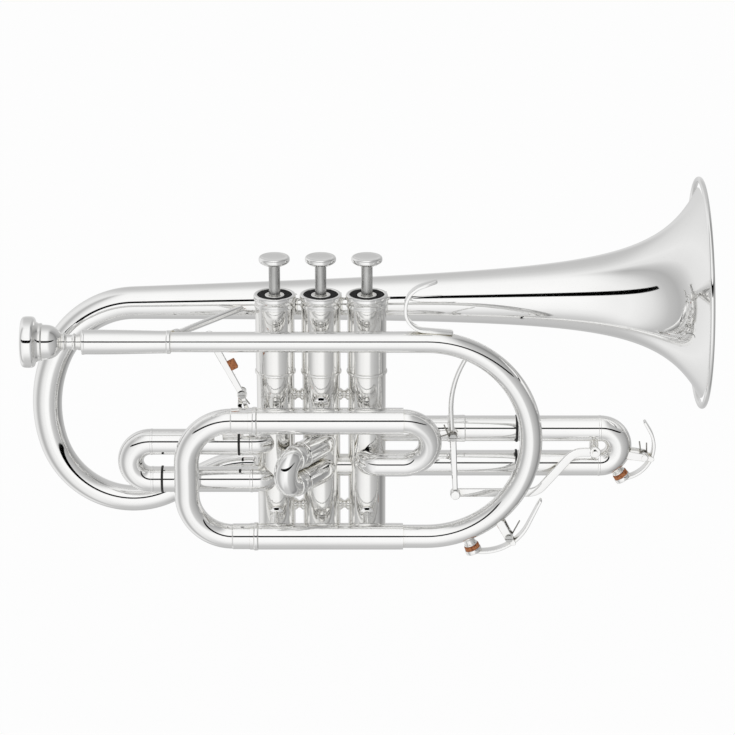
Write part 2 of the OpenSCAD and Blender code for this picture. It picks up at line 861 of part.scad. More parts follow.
module second_slide() {
  crook_r = (second_z[0] - second_z[1]) / 2;
  visible = second_reach - second_sleeve;
  leg = go(second_leg, pipe_r);
  neck = go(visible, sleeve_r, sleeve_r, sleeve_r - pipe_r + 0.6);
  color(silver) from_valves() at_second(second_z[0])
    translate([second_leg - 0.1, 0, 0]) rotate([0, 0, 180])
      pipe([leg, neck, roll(-90), turn(crook_r, 180, pipe_r), neck, leg], 0.6);
}

third_leg = 58;
module third_slide_tubes() {
  color(silver) from_valves()
    difference() {
      for (z = third_z)
        translate([valve_pitch, 0, z]) straight(third_sleeve_x - valve_pitch, sleeve_r, sleeve_r, wall);
      casing_space(3);
    }
}
module third_slide() {
  crook_r = (third_z[0] - third_z[1]) / 2;
  start = third_sleeve_x + ring_width;
  leg = go(third_leg, pipe_r);
  neck = go(third_crook_x - start, sleeve_r, sleeve_r, sleeve_r - pipe_r + 0.6);
  color(silver) from_valves()
    difference() {
      union() {
        translate([start - third_leg, 0, third_z[0]])
          pipe([leg, neck, roll(-90), turn(crook_r, 180, sleeve_r), neck, leg], wall + slide_gap);
        third_stay();
      }
      at_third_nipple() cylinder(h = 16, r = nipple_foot_r + 0.02, center = true);
    }
}
// A short post between the slide's legs carries the trigger's link
module third_stay() {
  post_r = 2.2;
  difference() {
    union() {
      translate([third_stay_x, 0, third_z[1]]) cylinder(h = third_z[0] - third_z[1], r = post_r);
      pin_y([third_stay_x, third_stay_z], -11.2, 0, 1.2);
    }
    for (z = third_z)
      translate([third_stay_x - 9, 0, z]) straight(18, sleeve_r - 0.1, sleeve_r - 0.1, sleeve_r);
  }
}
module third_slide_rings() {
  color(black_rubber) from_valves()
    for (z = third_z) slide_ring(third_sleeve_x + ring_width, 0, z);
}

// ---------------------------------------------------------------- first slide's trigger

lever_y = [-14.7, -13.1];
post_y = [-11.3, -9.9];
pivot_pin_r = 1;
pivot_hole_r = pivot_pin_r + 0.05;
open_hole_r = pivot_pin_r + 0.75;

module first_trigger_post() {
  foot = [-38, first_z[0] + 4];
  knee = [-41.2, -17];
  color(silver) from_valves()
    difference() {
      union() {
        plate_y(post_y[0], post_y[1]) {
          arm(first_pivot, knee, 0.9);
          arm(knee, foot, 0.9);
          translate(first_pivot) circle(2);
        }
        pin_y(first_pivot, lever_y[1] + 0.05, post_y[0], 1.9);
      }
      pin_y(first_pivot, -20, 0, pivot_hole_r);
      at_first_upper() translate([-overcut, 0, 0]) straight(20, sleeve_r, sleeve_r, sleeve_r);
    }
}

first_tip = [-55.6, 21];
first_cork_at = [-44.7, 3];
module first_trigger_lever() {
  color(bright_silver) from_valves()
    difference() {
      union() {
        plate_y(lever_y[0], lever_y[1]) {
          arm(first_pivot, first_tip, 1.4);
          translate(first_tip) circle(3);
          translate(first_pivot) circle(2.1);
          arm(first_pivot, first_joint, 0.8);
          translate(first_joint) circle(2.4);
        }
      }
      pin_y(first_pivot, -20, 0, pivot_hole_r);
      pin_y(first_joint, -20, 0, open_hole_r);
    }
}
module first_trigger_cork() {
  side = 3.6;
  lean = atan2(first_tip[0] - first_pivot[0], first_tip[1] - first_pivot[1]);
  color(cork) from_valves() translate([first_cork_at[0], 0, first_cork_at[1]])
    rotate([0, lean, 0]) translate([0.15, lever_y[0] - 0.6, 0]) cube([side, 3.2, 5.2]);
}
// Runs from the lug on the slide to the lever's lower end, whose hole is larger than the link's pin
module first_trigger_link() {
  rod_r = 0.75;
  y = (link_y[0] + link_y[1]) / 2;
  color(silver) from_valves() {
    rod([link_lug_x + 1.9, y, first_joint[1]], [first_joint[0] + 0.5, y, first_joint[1]], rod_r);
    pin_y([link_lug_x, first_joint[1]], link_y[0] - 0.6, link_y[1] + 0.6, 1);
    pin_y(first_joint, lever_y[0] - 1, link_y[1], pivot_pin_r);
    pin_y(first_joint, lever_y[0] - 1, lever_y[0] - 0.1, 2.2);
    pin_y([link_lug_x, first_joint[1]], link_y[0] - 0.6, link_y[0] - 0.05, 1.7);
    plate_y(link_y[0] - 0.6, link_y[0] - 0.05)
      arm([link_lug_x, first_joint[1]], [link_lug_x + 3.2, first_joint[1]], 0.7);
    rod([link_lug_x + 2.6, link_y[0] - 0.5, first_joint[1]], [link_lug_x + 2.6, y, first_joint[1]], 0.6);
  }
}

// A torsion spring: rings round a pivot and two straight legs, all from one wire
module torsion_spring(at, y0, rings, r, wire_r, leg_a, leg_b) {
  pitch = 1.8 * wire_r;
  translate([at[0], y0 + wire_r, at[1]]) rotate([-90, 0, 0])
    rotate_extrude() for (i = [0:rings - 1]) translate([r, i * pitch]) circle(wire_r);
  spring_leg(at, r, y0 + wire_r, wire_r, leg_a);
  spring_leg(at, r, y0 + wire_r + (rings - 1) * pitch, wire_r, leg_b);
}
// A leg of [direction, length, side], leaving the ring a little outside its tangent
module spring_leg(at, r, y, wire_r, leg) {
  lean = leg[0] + 30 * leg[2];
  start = at + r * leg[2] * [-sin(leg[0]), cos(leg[0])];
  end = start + leg[1] * [cos(lean), sin(lean)];
  rod([start[0], y, start[1]], [end[0], y, end[1]], wire_r - 0.03);
}
module first_trigger_spring() {
  color(steel) from_valves()
    torsion_spring(first_pivot, post_y[1] + 0.1, 3, 1.6, 0.35, [118, 11, 1], [-98, 9, 1]);
}

// ---------------------------------------------------------------- third slide's trigger

third_lever_y = [-12.2, -10.2];
third_link_y = [-9.9, -8.3];
module third_trigger_post() {
  color(silver) from_valves()
    difference() {
      union() {
        pin_y([third_pivot[0], third_z[0]], third_lever_y[1] + 0.05, -4, 2.3);
        translate([third_pivot[0] - 2.4, 0, third_z[0]]) straight(9, 6.95, 6.95, 0.45);
      }
      translate([0, 0, third_z[0]]) straight(99, sleeve_r, sleeve_r, sleeve_r);
      pin_y(third_pivot, -20, -7, pivot_hole_r);
    }
}
module third_trigger_lever() {
  rod_r = 1.3;
  y = (third_lever_y[0] + third_lever_y[1]) / 2;
  path = [go(10, rod_r), turn(52, -32, rod_r - 0.04), go(4, rod_r - 0.08)];
  color(bright_silver) from_valves()
    difference() {
      union() {
        translate([third_pivot[0] - 0.7, y, third_pivot[1] + 2]) rotate([0, -93, 0]) rotate([90, 0, 0]) {
          pipe(path, rod_r, 0.3);
          follow(path) rotate([90, 0, 0]) cylinder(h = 1.6, r = 3.6, center = true);
        }
        plate_y(third_lever_y[0], third_lever_y[1]) {
          translate(third_pivot) circle(2.6);
          arm(third_pivot, third_joint, 1.3);
          translate(third_joint) circle(2.6);
        }
      }
      pin_y(third_pivot, -20, -5, pivot_hole_r);
      pin_y(third_joint, -20, -5, open_hole_r);
    }
}
// A flat bar from the slide's stay, down behind the big bend, to the lever's lower end
module third_trigger_link() {
  tall = 4.4;
  slope = 50;
  bend_r = 10;
  end = 6;
  low_z = third_joint[1];
  slant = (third_stay_z - low_z - 2 * bend_r * (1 - cos(slope))) / sin(slope);
  flat = third_stay_x - third_joint[0] - 2 * bend_r * sin(slope) - slant * cos(slope) - end;
  path = [go(flat), turn(bend_r, slope), go(slant), turn(bend_r, -slope), go(end)];
  color(bright_silver) from_valves()
    difference() {
      union() {
        plate_y(third_link_y[0], third_link_y[1]) {
          strip(path, third_joint, 0, tall);
          translate(third_joint) circle(2.6);
          translate([third_stay_x, third_stay_z]) circle(2.8);
        }
        pin_y(third_joint, third_lever_y[0] - 1.3, third_link_y[1], pivot_pin_r);
        pin_y(third_joint, third_lever_y[0] - 1.3, third_lever_y[0] - 0.1, 2.4);
      }
      pin_y([third_stay_x, third_stay_z], -20, -4, 1.25);
    }
}
module third_trigger_spring() {
  color(steel) from_valves()
    torsion_spring(third_pivot, third_lever_y[0] - 2.6, 3, 1.7, 0.35, [128, 9, -1], [170, 8, 1]);
}

// Screws that carry the levers: a head, a plain pin and its thread in the post
module pivot_screw(at, head_y, end_y) {
  head = 1.1;
  difference() {
    union() {
      pin_y(at, head_y, head_y + head, 1.9);
      pin_y(at, head_y, end_y, pivot_pin_r);
    }
    translate([at[0] - 2.5, head_y - 0.4, at[1] - 0.25]) cube([5, 0.8, 0.5]);
  }
}
module pivot_screws() {
  color(steel) from_valves() {
    pivot_screw(first_pivot, lever_y[0] - 1.15, post_y[1]);
    pivot_screw(third_pivot, third_lever_y[0] - 3.8, third_lever_y[1] + 2.5);
    pivot_screw(key_pivot, front_y - key_width / 2 - 2.25, front_y + key_width / 2 + 0.7);
  }
}

// ---------------------------------------------------------------- water keys

nipple_bore_r = 1.5;
nipple_r = 3.4;
nipple_foot_r = nipple_r + 0.4;
key_width = 6;
cork_r = 4.2;
cork_height = 3.6;
main_nipple_angle = 22;
third_nipple_angle = 34.5;
main_nipple_reach = 61.6;
third_nipple_reach = 18;

// Local -Z points out of the bend, through the nipple
module at_main_nipple() {
  translate([leadpipe_end_x, front_y, leadpipe_z - big_bend_r]) rotate([0, -main_nipple_angle, 0])
    translate([0, 0, -main_nipple_reach]) children();
}
module at_third_nipple() {
  translate([third_crook_x, 0, (third_z[0] + third_z[1]) / 2]) rotate([0, -third_nipple_angle, 0])
    translate([0, 0, -third_nipple_reach]) children();
}
module nipple(depth) {
  difference() {
    union() {
      cylinder(h = depth, r = nipple_r - 0.6);
      cylinder(h = 1, r = nipple_r);
      translate([0, 0, depth - 2]) cylinder(h = 2, r1 = nipple_r - 0.6, r2 = nipple_foot_r);
    }
    translate([0, 0, -overcut]) cylinder(h = depth + 2 * overcut, r = nipple_bore_r);
  }
}
module cork_pad() {
  difference() {
    translate([0, 0, -cork_height]) cylinder(h = cork_height - 0.02, r = cork_r - 0.3);
    translate([0, 0, -0.5]) cylinder(h = 1, r = nipple_bore_r);
  }
}
// The lever's cup holds the cork by its lower part
module cork_cup() {
  difference() {
    translate([0, 0, -cork_height - 0.9]) cylinder(h = 2.4, r = cork_r);
    translate([0, 0, -cork_height]) cylinder(h = cork_height, r = cork_r - 0.3);
  }
}
// Two cheeks that carry a key's pivot, from a foot on the tube
module key_cheeks(at, foot, y) {
  cheek = 1;
  inner = key_width / 2 + 0.1;
  difference() {
    for (side = [-1, 1])
      plate_y(y + (side > 0 ? inner : -inner - cheek), y + (side > 0 ? inner + cheek : -inner))
        arm(foot, at, 1.9);
    pin_y(at, y - 10, y + 10, pivot_hole_r);
  }
}

module water_key_saddle() {
  foot = [leadpipe_end_x, leadpipe_z - big_bend_r]
    + (big_bend_r + leadpipe_r[2] - 1.5) * [sin(40.5), -cos(40.5)];
  color(silver) from_valves() {
    at_main_nipple() nipple(4.9);
    difference() {
      key_cheeks(key_pivot, foot, front_y);
      pin_y([leadpipe_end_x, leadpipe_z - big_bend_r], front_y - 10, front_y + 10, big_bend_r + 5.1);
    }
  }
}
// A curved flat lever about a centre, from one angle to another, with a straight tip
module key_lever(centre, r, from_angle, to_angle, tip, y) {
  thick = 1.7;
  start = centre + r * [cos(from_angle), sin(from_angle)];
  plate_y(y - key_width / 2 + 0.5, y + key_width / 2 - 0.5)
    strip([turn(r, to_angle - from_angle), go(tip)], start, from_angle + 90, thick);
}

main_key_centre = [82, -66.5];
main_key_r = 25.4;
module water_key_lever() {
  lug = 2.4;
  color(bright_silver) from_valves()
    difference() {
      union() {
        difference() {
          key_lever(main_key_centre, main_key_r, -100, -25, 15.5, front_y);
          at_main_nipple() translate([0, 0, -cork_height]) cylinder(h = 12, r = cork_r - 0.2);
        }
        at_main_nipple() cork_cup();
        plate_y(front_y - key_width / 2, front_y + key_width / 2) {
          translate(key_pivot) circle(lug);
          arm(key_pivot, key_pivot + [3.6, -2.6], 1.3);
        }
      }
      pin_y(key_pivot, front_y - 10, front_y + 10, pivot_hole_r);
      // a slot in the lug leaves room for the spring
      plate_y(front_y - 1.5, front_y + 1.5) translate(key_pivot) circle(lug + 0.1);
    }
}
module water_key_cork() {
  color(cork) from_valves() at_main_nipple() cork_pad();
}
module water_key_spring() {
  color(steel) from_valves()
    torsion_spring(key_pivot, front_y - 1.1, 3, 1.5, 0.35, [150, 5, -1], [50, 9, 1]);
}

third_key_centre = [152.5, -43.5];
third_key_r = 17.6;
module third_key_lever() {
  lug = 2.2;
  color(bright_silver) from_valves()
    difference() {
      union() {
        difference() {
          key_lever(third_key_centre, third_key_r, -84, 30, 6, 0);
          at_third_nipple() translate([0, 0, -cork_height]) cylinder(h = 10, r = cork_r - 0.2);
        }
        at_third_nipple() cork_cup();
        plate_y(-key_width / 2, key_width / 2) {
          translate(third_key_pivot) circle(lug);
          arm(third_key_pivot, third_key_pivot + [4, -1], 1.2);
        }
      }
      pin_y(third_key_pivot, -10, 10, pivot_hole_r);
      plate_y(-1.5, 1.5) translate(third_key_pivot) circle(lug + 0.1);
    }
}
module third_key_cork() {
  color(cork) from_valves() at_third_nipple() cork_pad();
}
module third_key_spring() {
  color(steel) from_valves()
    torsion_spring(third_key_pivot, -1.1, 3, 1.4, 0.35, [70, 8, 1], [120, 6, -1]);
}
module third_key_saddle() {
  crook_r = (third_z[0] - third_z[1]) / 2;
  foot = [third_crook_x + crook_r + sleeve_r - 5, third_key_pivot[1] + 1.2];
  color(silver) from_valves() {
    at_third_nipple() nipple(3.4);
    difference() {
      key_cheeks(third_key_pivot, foot, 0);
      pin_y([third_crook_x, (third_z[0] + third_z[1]) / 2], -10, 10, crook_r + 5.85);
    }
  }
  // the key's pin goes through both cheeks
  color(steel) from_valves()
    pin_y(third_key_pivot, -key_width / 2 - 1.5, key_width / 2 + 1.5, pivot_pin_r);
}

// ---------------------------------------------------------------- hook and braces

// A flat hook that curls up from the top of the leadpipe towards the valves and back
hook_base = [66, 26.3];
hook_width = 5;
module finger_hook() {
  thick = 1.8;
  path = [go(14), turn(10.4, -86), go(1.5), turn(12, -70), go(8.5)];
  color(bright_silver) from_valves()
    difference() {
      union() {
        plate_y(front_y - hook_width / 2, front_y + hook_width / 2) strip(path, hook_base, 176, thick);
        translate([54, front_y - hook_width / 2, 22]) cube([10, hook_width, 4.4]);
      }
      translate([receiver_x[1], front_y, leadpipe_z])
        straight(leadpipe_end_x - receiver_x[1] + 0.2, leadpipe_r[0], leadpipe_r[1], leadpipe_r[1]);
      pin_y([leadpipe_end_x, leadpipe_z - big_bend_r], front_y - 10, front_y + 10, big_bend_r + 5.5);
    }
}

// A thin rod from the leadpipe's receiver end across to the bell
module bell_brace() {
  foot_r = 2.6;
  a = [-73.5, front_y + 3.5, leadpipe_z + 2];
  b = [-38, 24, leadpipe_z + 3.3];
  d = (b - a) / norm(b - a);
  color(silver)
    difference() {
      from_valves() {
        rod(a, b, 1.7);
        rod(a, a + 5.2 * d, foot_r);
        rod(b - 8.2 * d, b, foot_r + 0.4);
      }
      from_valves() translate([receiver_x[1] - 20, front_y, leadpipe_z]) straight(80, 5.62, 5.62, 5.62);
      bell_space();
    }
}
module bell_space() {
  rotate([0, -bell_tilt, 0]) rotate([0, 90, 0])
    rotate_extrude() polygon(concat(
      [for (i = [flare_steps:-1:0]) outside_at(station(i, outside_start))],
      [[0, -outside_start], [0, -bell_len]]
    ));
}

// Short posts with round feet hold the tuning slide's sleeves off the casings
module slide_posts() {
  foot_r = 3.75;
  foot = 1.1;
  posts = [[1, -76.6, tuning_lower_z], [3, -76.6, tuning_lower_z], [2, -16.4, tuning_upper_z]];
  color(silver) from_valves()
    difference() {
      for (p = posts) {
        start = [valve_x(p[0]), -casing_r + 1.2, p[1]];
        end = [valve_x(p[0]), front_y, p[2]];
        d = (end - start) / norm(end - start);
        rod(start, end, 1.9);
        rod(start, start + (foot + 1.2) * d, foot_r);
      }
      for (n = [1:3]) casing_space(n);
      for (z = [tuning_upper_z, tuning_lower_z])
        translate([-60, front_y, z]) straight(120, tuning_sleeve_r, tuning_sleeve_r, tuning_sleeve_r);
    }
}

// Posts behind the outer casings reach the bell
module casing_to_bell_brace() {
  z = 22;
  color(silver)
    difference() {
      from_valves()
        for (n = [1, 3]) {
          rod([valve_x(n), collar_r - 1.5, z], [valve_x(n), valve_side, z + 4.2], 1.9);
          rod([valve_x(n), collar_r - 1.5, z], [valve_x(n), collar_r + 0.9, z], 3.2);
        }
      from_valves() for (n = [1, 3]) casing_space(n);
      bell_space();
    }
}

bell();
leadpipe();
mouthpiece_receiver();
mouthpiece();
tuning_sleeve_upper();
tuning_sleeve_lower();
tuning_slide();
valve_entry_bend();
valve_casing_1();
valve_casing_2();
valve_casing_3();
crossover_tubes();
casing_braces();
top_caps();
bottom_caps();
cap_felts();
valve_guides();
piston_1();
piston_2();
piston_3();
valve_stem_1();
valve_stem_2();
valve_stem_3();
finger_button_1();
finger_button_2();
finger_button_3();
valve_spring_1();
valve_spring_2();
valve_spring_3();
first_slide_tubes();
first_slide();
first_slide_rings();
second_slide_tubes();
second_slide();
third_slide_tubes();
third_slide();
third_slide_rings();
first_trigger_post();
first_trigger_lever();
first_trigger_cork();
first_trigger_link();
first_trigger_spring();
third_trigger_post();
third_trigger_lever();
third_trigger_link();
third_trigger_spring();
pivot_screws();
water_key_saddle();
water_key_lever();
water_key_cork();
water_key_spring();
third_key_saddle();
third_key_lever();
third_key_cork();
third_key_spring();
finger_hook();
bell_brace();
slide_posts();
casing_to_bell_brace();
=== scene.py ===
"""Cornet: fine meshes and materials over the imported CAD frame, a pale floor, soft light and the camera."""

import json
import math
from math import cos, radians, sin

import bmesh
import bpy
from mathutils import Matrix, Vector


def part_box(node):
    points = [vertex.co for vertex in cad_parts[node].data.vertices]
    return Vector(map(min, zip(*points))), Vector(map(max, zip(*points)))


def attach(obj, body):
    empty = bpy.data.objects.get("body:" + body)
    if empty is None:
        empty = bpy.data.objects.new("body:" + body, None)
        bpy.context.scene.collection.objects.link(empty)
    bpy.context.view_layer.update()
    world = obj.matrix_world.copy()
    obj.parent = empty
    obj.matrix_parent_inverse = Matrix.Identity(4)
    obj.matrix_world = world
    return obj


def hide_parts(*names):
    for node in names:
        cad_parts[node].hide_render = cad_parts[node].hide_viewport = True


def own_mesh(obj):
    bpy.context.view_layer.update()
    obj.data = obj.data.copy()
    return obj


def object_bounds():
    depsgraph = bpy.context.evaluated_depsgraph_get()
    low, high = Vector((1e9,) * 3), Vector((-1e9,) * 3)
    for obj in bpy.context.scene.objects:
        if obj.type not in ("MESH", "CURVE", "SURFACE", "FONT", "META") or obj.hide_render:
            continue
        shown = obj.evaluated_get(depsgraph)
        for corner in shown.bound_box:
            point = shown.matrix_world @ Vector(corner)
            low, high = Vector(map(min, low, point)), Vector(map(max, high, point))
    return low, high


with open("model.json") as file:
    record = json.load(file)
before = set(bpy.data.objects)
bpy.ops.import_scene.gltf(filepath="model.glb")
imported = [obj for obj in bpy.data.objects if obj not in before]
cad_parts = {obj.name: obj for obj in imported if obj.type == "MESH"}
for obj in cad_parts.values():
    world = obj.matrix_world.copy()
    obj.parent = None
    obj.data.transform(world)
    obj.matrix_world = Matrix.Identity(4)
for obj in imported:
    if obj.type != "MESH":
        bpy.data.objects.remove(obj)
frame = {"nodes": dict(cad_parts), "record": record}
cad_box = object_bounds()

MM = 0.001
X, Y, Z = Vector((1, 0, 0)), Vector((0, 1, 0)), Vector((0, 0, 1))

# ---- sizes, in millimetres from the middle valve's axis

CASING_BOTTOM, CASING_TOP = -87.5, 32.5
CASING_R, COLLAR_R, BORE_R = 9.55, 9.85, 8.6
PITCH = 23.2
FRONT_Y = -23
WALL, INNER_WALL = 0.55, 0.6
PIPE_R, SLEEVE_R = 6.0, 6.6

low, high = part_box("valve_casing_2")
ORIGIN = Vector(((low.x + high.x) / 2, (low.y + high.y) / 2, high.z - CASING_TOP * MM))


def row(p):
    """A point in millimetres from the valve datum, in the row frame."""
    return ORIGIN + Vector(p) * MM


def valve_x(n):
    return (n - 2) * PITCH


# ---- materials


def new_material(name):
    """An empty material, with its node tree and the object's coordinates in it."""
    mat = bpy.data.materials.new(name)
    mat.use_nodes = True
    tree = mat.node_tree
    tree.nodes.clear()
    return mat, tree, node(tree, "TexCoord").outputs["Object"]


def node(tree, kind, **values):
    n = tree.nodes.new("ShaderNode" + kind)
    for key, value in values.items():
        if key in n.inputs:
            n.inputs[key].default_value = value
        else:
            setattr(n, key, value)
    return n


def noise(tree, coords, scale, detail, stretch=None):
    """A noise texture in metres of the object, optionally stretched along one axis."""
    source = coords
    if stretch:
        mapping = node(tree, "Mapping")
        mapping.inputs["Scale"].default_value = stretch
        tree.links.new(coords, mapping.inputs["Vector"])
        source = mapping.outputs["Vector"]
    n = node(tree, "TexNoise", Scale=scale, Detail=detail)
    tree.links.new(source, n.inputs["Vector"])
    return n.outputs["Fac"]


def spread(tree, value, low_value, high_value):
    """Maps a noise of about 0.3 to 0.7 onto a range."""
    n = node(tree, "MapRange")
    n.inputs["From Min"].default_value = 0.3
    n.inputs["From Max"].default_value = 0.7
    n.inputs["To Min"].default_value = low_value
    n.inputs["To Max"].default_value = high_value
    tree.links.new(value, n.inputs["Value"])
    return n.outputs["Result"]


def mix_colour(tree, factor, a, b):
    n = node(tree, "Mix")
    n.data_type = "RGBA"
    for socket, colour in ((n.inputs[6], a), (n.inputs[7], b)):
        if isinstance(colour, tuple):
            socket.default_value = (*colour, 1)
        else:
            tree.links.new(colour, socket)
    tree.links.new(factor, n.inputs[0])
    return n.outputs[2]


def finish_shader(tree, colour, roughness, height, depth, **principled):
    shader = node(tree, "BsdfPrincipled", **principled)
    tree.links.new(colour, shader.inputs["Base Color"])
    tree.links.new(roughness, shader.inputs["Roughness"])
    bump = node(tree, "Bump", Strength=1.0, Distance=depth)
    tree.links.new(height, bump.inputs["Height"])
    tree.links.new(bump.outputs["Normal"], shader.inputs["Normal"])
    out = node(tree, "OutputMaterial")
    tree.links.new(shader.outputs["BSDF"], out.inputs["Surface"])


def polished_metal(name, bright, painted_shade_tint, rough, polish_depth=2e-7):
    """Plated metal: cloudy polish, painted shade in a warm grey where surfaces meet, and fine polishing
    marks.
    """
    mat, tree, coords = new_material(name)
    clouds = noise(tree, coords, 45, 3)
    marks = noise(tree, coords, 900, 2, (1, 1, 0.15))
    # painted shade: ambient occlusion blends the colour towards a warm grey where surfaces come close
    # together
    shade_occlusion = node(tree, "AmbientOcclusion", samples=4, Distance=0.004)
    shade_depth = node(tree, "Math", operation="SUBTRACT")
    shade_depth.inputs[0].default_value = 1.0
    tree.links.new(shade_occlusion.outputs["AO"], shade_depth.inputs[1])
    painted_shade_mask = node(tree, "Math", operation="MULTIPLY")
    painted_shade_mask.inputs[1].default_value = 0.45
    tree.links.new(shade_depth.outputs[0], painted_shade_mask.inputs[0])
    slightly = tuple(0.975 * c for c in bright)
    base = mix_colour(tree, spread(tree, clouds, 0, 1), bright, slightly)
    colour = mix_colour(tree, painted_shade_mask.outputs[0], base, painted_shade_tint)
    roughness = spread(tree, noise(tree, coords, 160, 4), rough[0], rough[1])
    finish_shader(tree, colour, roughness, marks, polish_depth, Metallic=1.0)
    return mat


def brushed_metal(name, light, dark, rough, stretch):
    mat, tree, coords = new_material(name)
    grain = noise(tree, coords, 1500, 3, stretch)
    clouds = noise(tree, coords, 120, 3)
    base = mix_colour(tree, spread(tree, clouds, 0, 1), light, dark)
    roughness = spread(tree, grain, rough[0], rough[1])
    finish_shader(tree, base, roughness, grain, 2e-6, Metallic=1.0)
    return mat


def cork_material():
    """Cut cork: orange-brown with dark pores and paler grains."""
    mat, tree, coords = new_material("cork")
    cells = node(tree, "TexVoronoi", Scale=1600.0)
    tree.links.new(coords, cells.inputs["Vector"])
    pores = noise(tree, coords, 1100, 4)
    grains = mix_colour(tree, spread(tree, pores, 0, 1), (0.62, 0.25, 0.1), (0.42, 0.13, 0.045))
    ramp = node(tree, "ValToRGB")
    ramp.color_ramp.elements[0].position = 0.56
    ramp.color_ramp.elements[1].position = 0.66
    tree.links.new(pores, ramp.inputs["Fac"])
    colour = mix_colour(tree, ramp.outputs["Color"], grains, (0.2, 0.06, 0.025))
    finish_shader(tree, colour, spread(tree, pores, 0.7, 0.9), cells.outputs["Distance"], 6e-5)
    return mat


def felt_material():
    mat, tree, coords = new_material("black_felt")
    fibres = noise(tree, coords, 3000, 6)
    lint = noise(tree, coords, 900, 4)
    colour = mix_colour(tree, spread(tree, lint, 0, 1), (0.006, 0.006, 0.007), (0.018, 0.018, 0.019))
    finish_shader(tree, colour, spread(tree, fibres, 0.9, 1.0), fibres, 1.2e-4)
    return mat


def plastic(name, scale, a, b, rough):
    mat, tree, coords = new_material(name)
    skin = noise(tree, coords, scale, 4)
    colour = mix_colour(tree, spread(tree, skin, 0, 1), a, b)
    finish_shader(tree, colour, spread(tree, skin, rough[0], rough[1]), skin, 2e-5)
    return mat


# the second colour of each plated metal is the warm grey of its painted shade where surfaces meet
SILVER = polished_metal("silver_plate", (0.97, 0.968, 0.96), (0.62, 0.58, 0.46), (0.03, 0.06))
CASING_SILVER = polished_metal("casing_plate", (0.955, 0.95, 0.935), (0.6, 0.56, 0.44), (0.05, 0.09))
NICKEL = brushed_metal("nickel_plate", (0.62, 0.62, 0.61), (0.5, 0.5, 0.49), (0.22, 0.36), (1, 1, 0.05))
STEEL = brushed_metal("spring_steel", (0.42, 0.41, 0.38), (0.28, 0.27, 0.25), (0.25, 0.4), (1, 1, 1))
LOOK = {
    "silver_plate": SILVER,
    "nickel_plate": NICKEL,
    "spring_steel": STEEL,
    "cork": cork_material(),
    "black_felt": felt_material(),
    "black_rubber": plastic("black_rubber", 1200, (0.008, 0.008, 0.008), (0.02, 0.02, 0.02), (0.45, 0.65)),
    "guide_plastic": plastic("guide_nylon", 700, (0.72, 0.7, 0.62), (0.62, 0.6, 0.52), (0.4, 0.55)),
}
SLOT_OF = {s["node"]: s["material_slot"] for s in frame["record"]["subparts"]}
BODY_OF = {
    n: body for body, members in frame["record"]["behaviour"]["bodies"].items() for n in members
}

# ---- mesh building

SHARP = radians(38)


def build(name, shells, replaced, look=None):
    """One piece from several closed shells of (points in millimetres, faces), in place of CAD nodes."""
    points, faces = [], []
    for shell_points, shell_faces in shells:
        base = len(points)
        points += [row(p) for p in shell_points]
        faces += [[i + base for i in f] for f in shell_faces]
    mesh = bpy.data.meshes.new(name)
    mesh.from_pydata(points, [], faces)
    bm = bmesh.new()
    bm.from_mesh(mesh)
    bmesh.ops.recalc_face_normals(bm, faces=bm.faces)
    for face in bm.faces:
        face.smooth = True
    for edge in bm.edges:
        if len(edge.link_faces) == 2 and edge.calc_face_angle(0) > SHARP:
            edge.smooth = False
    bm.to_mesh(mesh)
    bm.free()
    obj = bpy.data.objects.new(name, mesh)
    bpy.context.scene.collection.objects.link(obj)
    slot = SLOT_OF[replaced[0]]
    mesh.materials.append(look or LOOK[slot])
    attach(obj, BODY_OF[replaced[0]])
    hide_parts(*replaced)
    return obj


class Path:
    """A line that goes, turns to its left and rolls, with a radius at each station."""

    def __init__(self, start, forward=X, left=Y):
        self.p, self.t, self.left = Vector(start), Vector(forward), Vector(left)
        self.stations = []

    def mark(self, r):
        self.stations.append((self.p.copy(), self.t.copy(), r))

    def go(self, length, r0, r1=None, steps=1):
        r1 = r0 if r1 is None else r1
        start = self.p.copy()
        self.mark(r0)
        for i in range(1, steps + 1):
            self.p = start + self.t * length * i / steps
            self.mark(r0 + (r1 - r0) * i / steps)
        return self

    def turn(self, radius, angle, r0, r1=None):
        r1 = r0 if r1 is None else r1
        side = 1 if angle > 0 else -1
        centre = self.p + self.left * radius * side
        axis = self.t.cross(self.left)
        steps = max(4, round(abs(angle) / 3))
        arm, t, left = self.p - centre, self.t.copy(), self.left.copy()
        self.mark(r0)
        for i in range(1, steps + 1):
            spin = Matrix.Rotation(radians(angle) * i / steps, 3, axis)
            self.p, self.t, self.left = centre + spin @ arm, spin @ t, spin @ left
            self.mark(r0 + (r1 - r0) * i / steps)
        return self

    def roll(self, angle):
        self.left = Matrix.Rotation(radians(angle), 3, self.t) @ self.left
        return self


def frames(stations):
    """Each station with two directions across it that never twist, and without repeated points."""
    clean = []
    for p, t, r in stations:
        if not clean or (p - clean[-1][0]).length > 1e-5 or abs(r - clean[-1][2]) > 1e-5:
            clean.append((p, t.normalized(), r))
    t0 = clean[0][1]
    across = (Z - t0 * t0.z) if abs(t0.z) < 0.9 else (Y - t0 * t0.y)
    across.normalize()
    out = []
    for p, t, r in clean:
        across = (across - t * across.dot(t)).normalized()
        out.append((p, t, across, t.cross(across), r))
    return out


def seat(point, t, centre, r, ahead):
    """Slides a tube's end point along the tube until it meets an upright cylinder."""
    d = Vector((t.x, t.y)).normalized()
    v = Vector((point.x - centre[0], point.y - centre[1]))
    along, off = v.dot(d), v.x * d.y - v.y * d.x
    half = math.sqrt(max(r * r - off * off, 0.0))
    target = -half if ahead else half
    return point + t * (target - along)


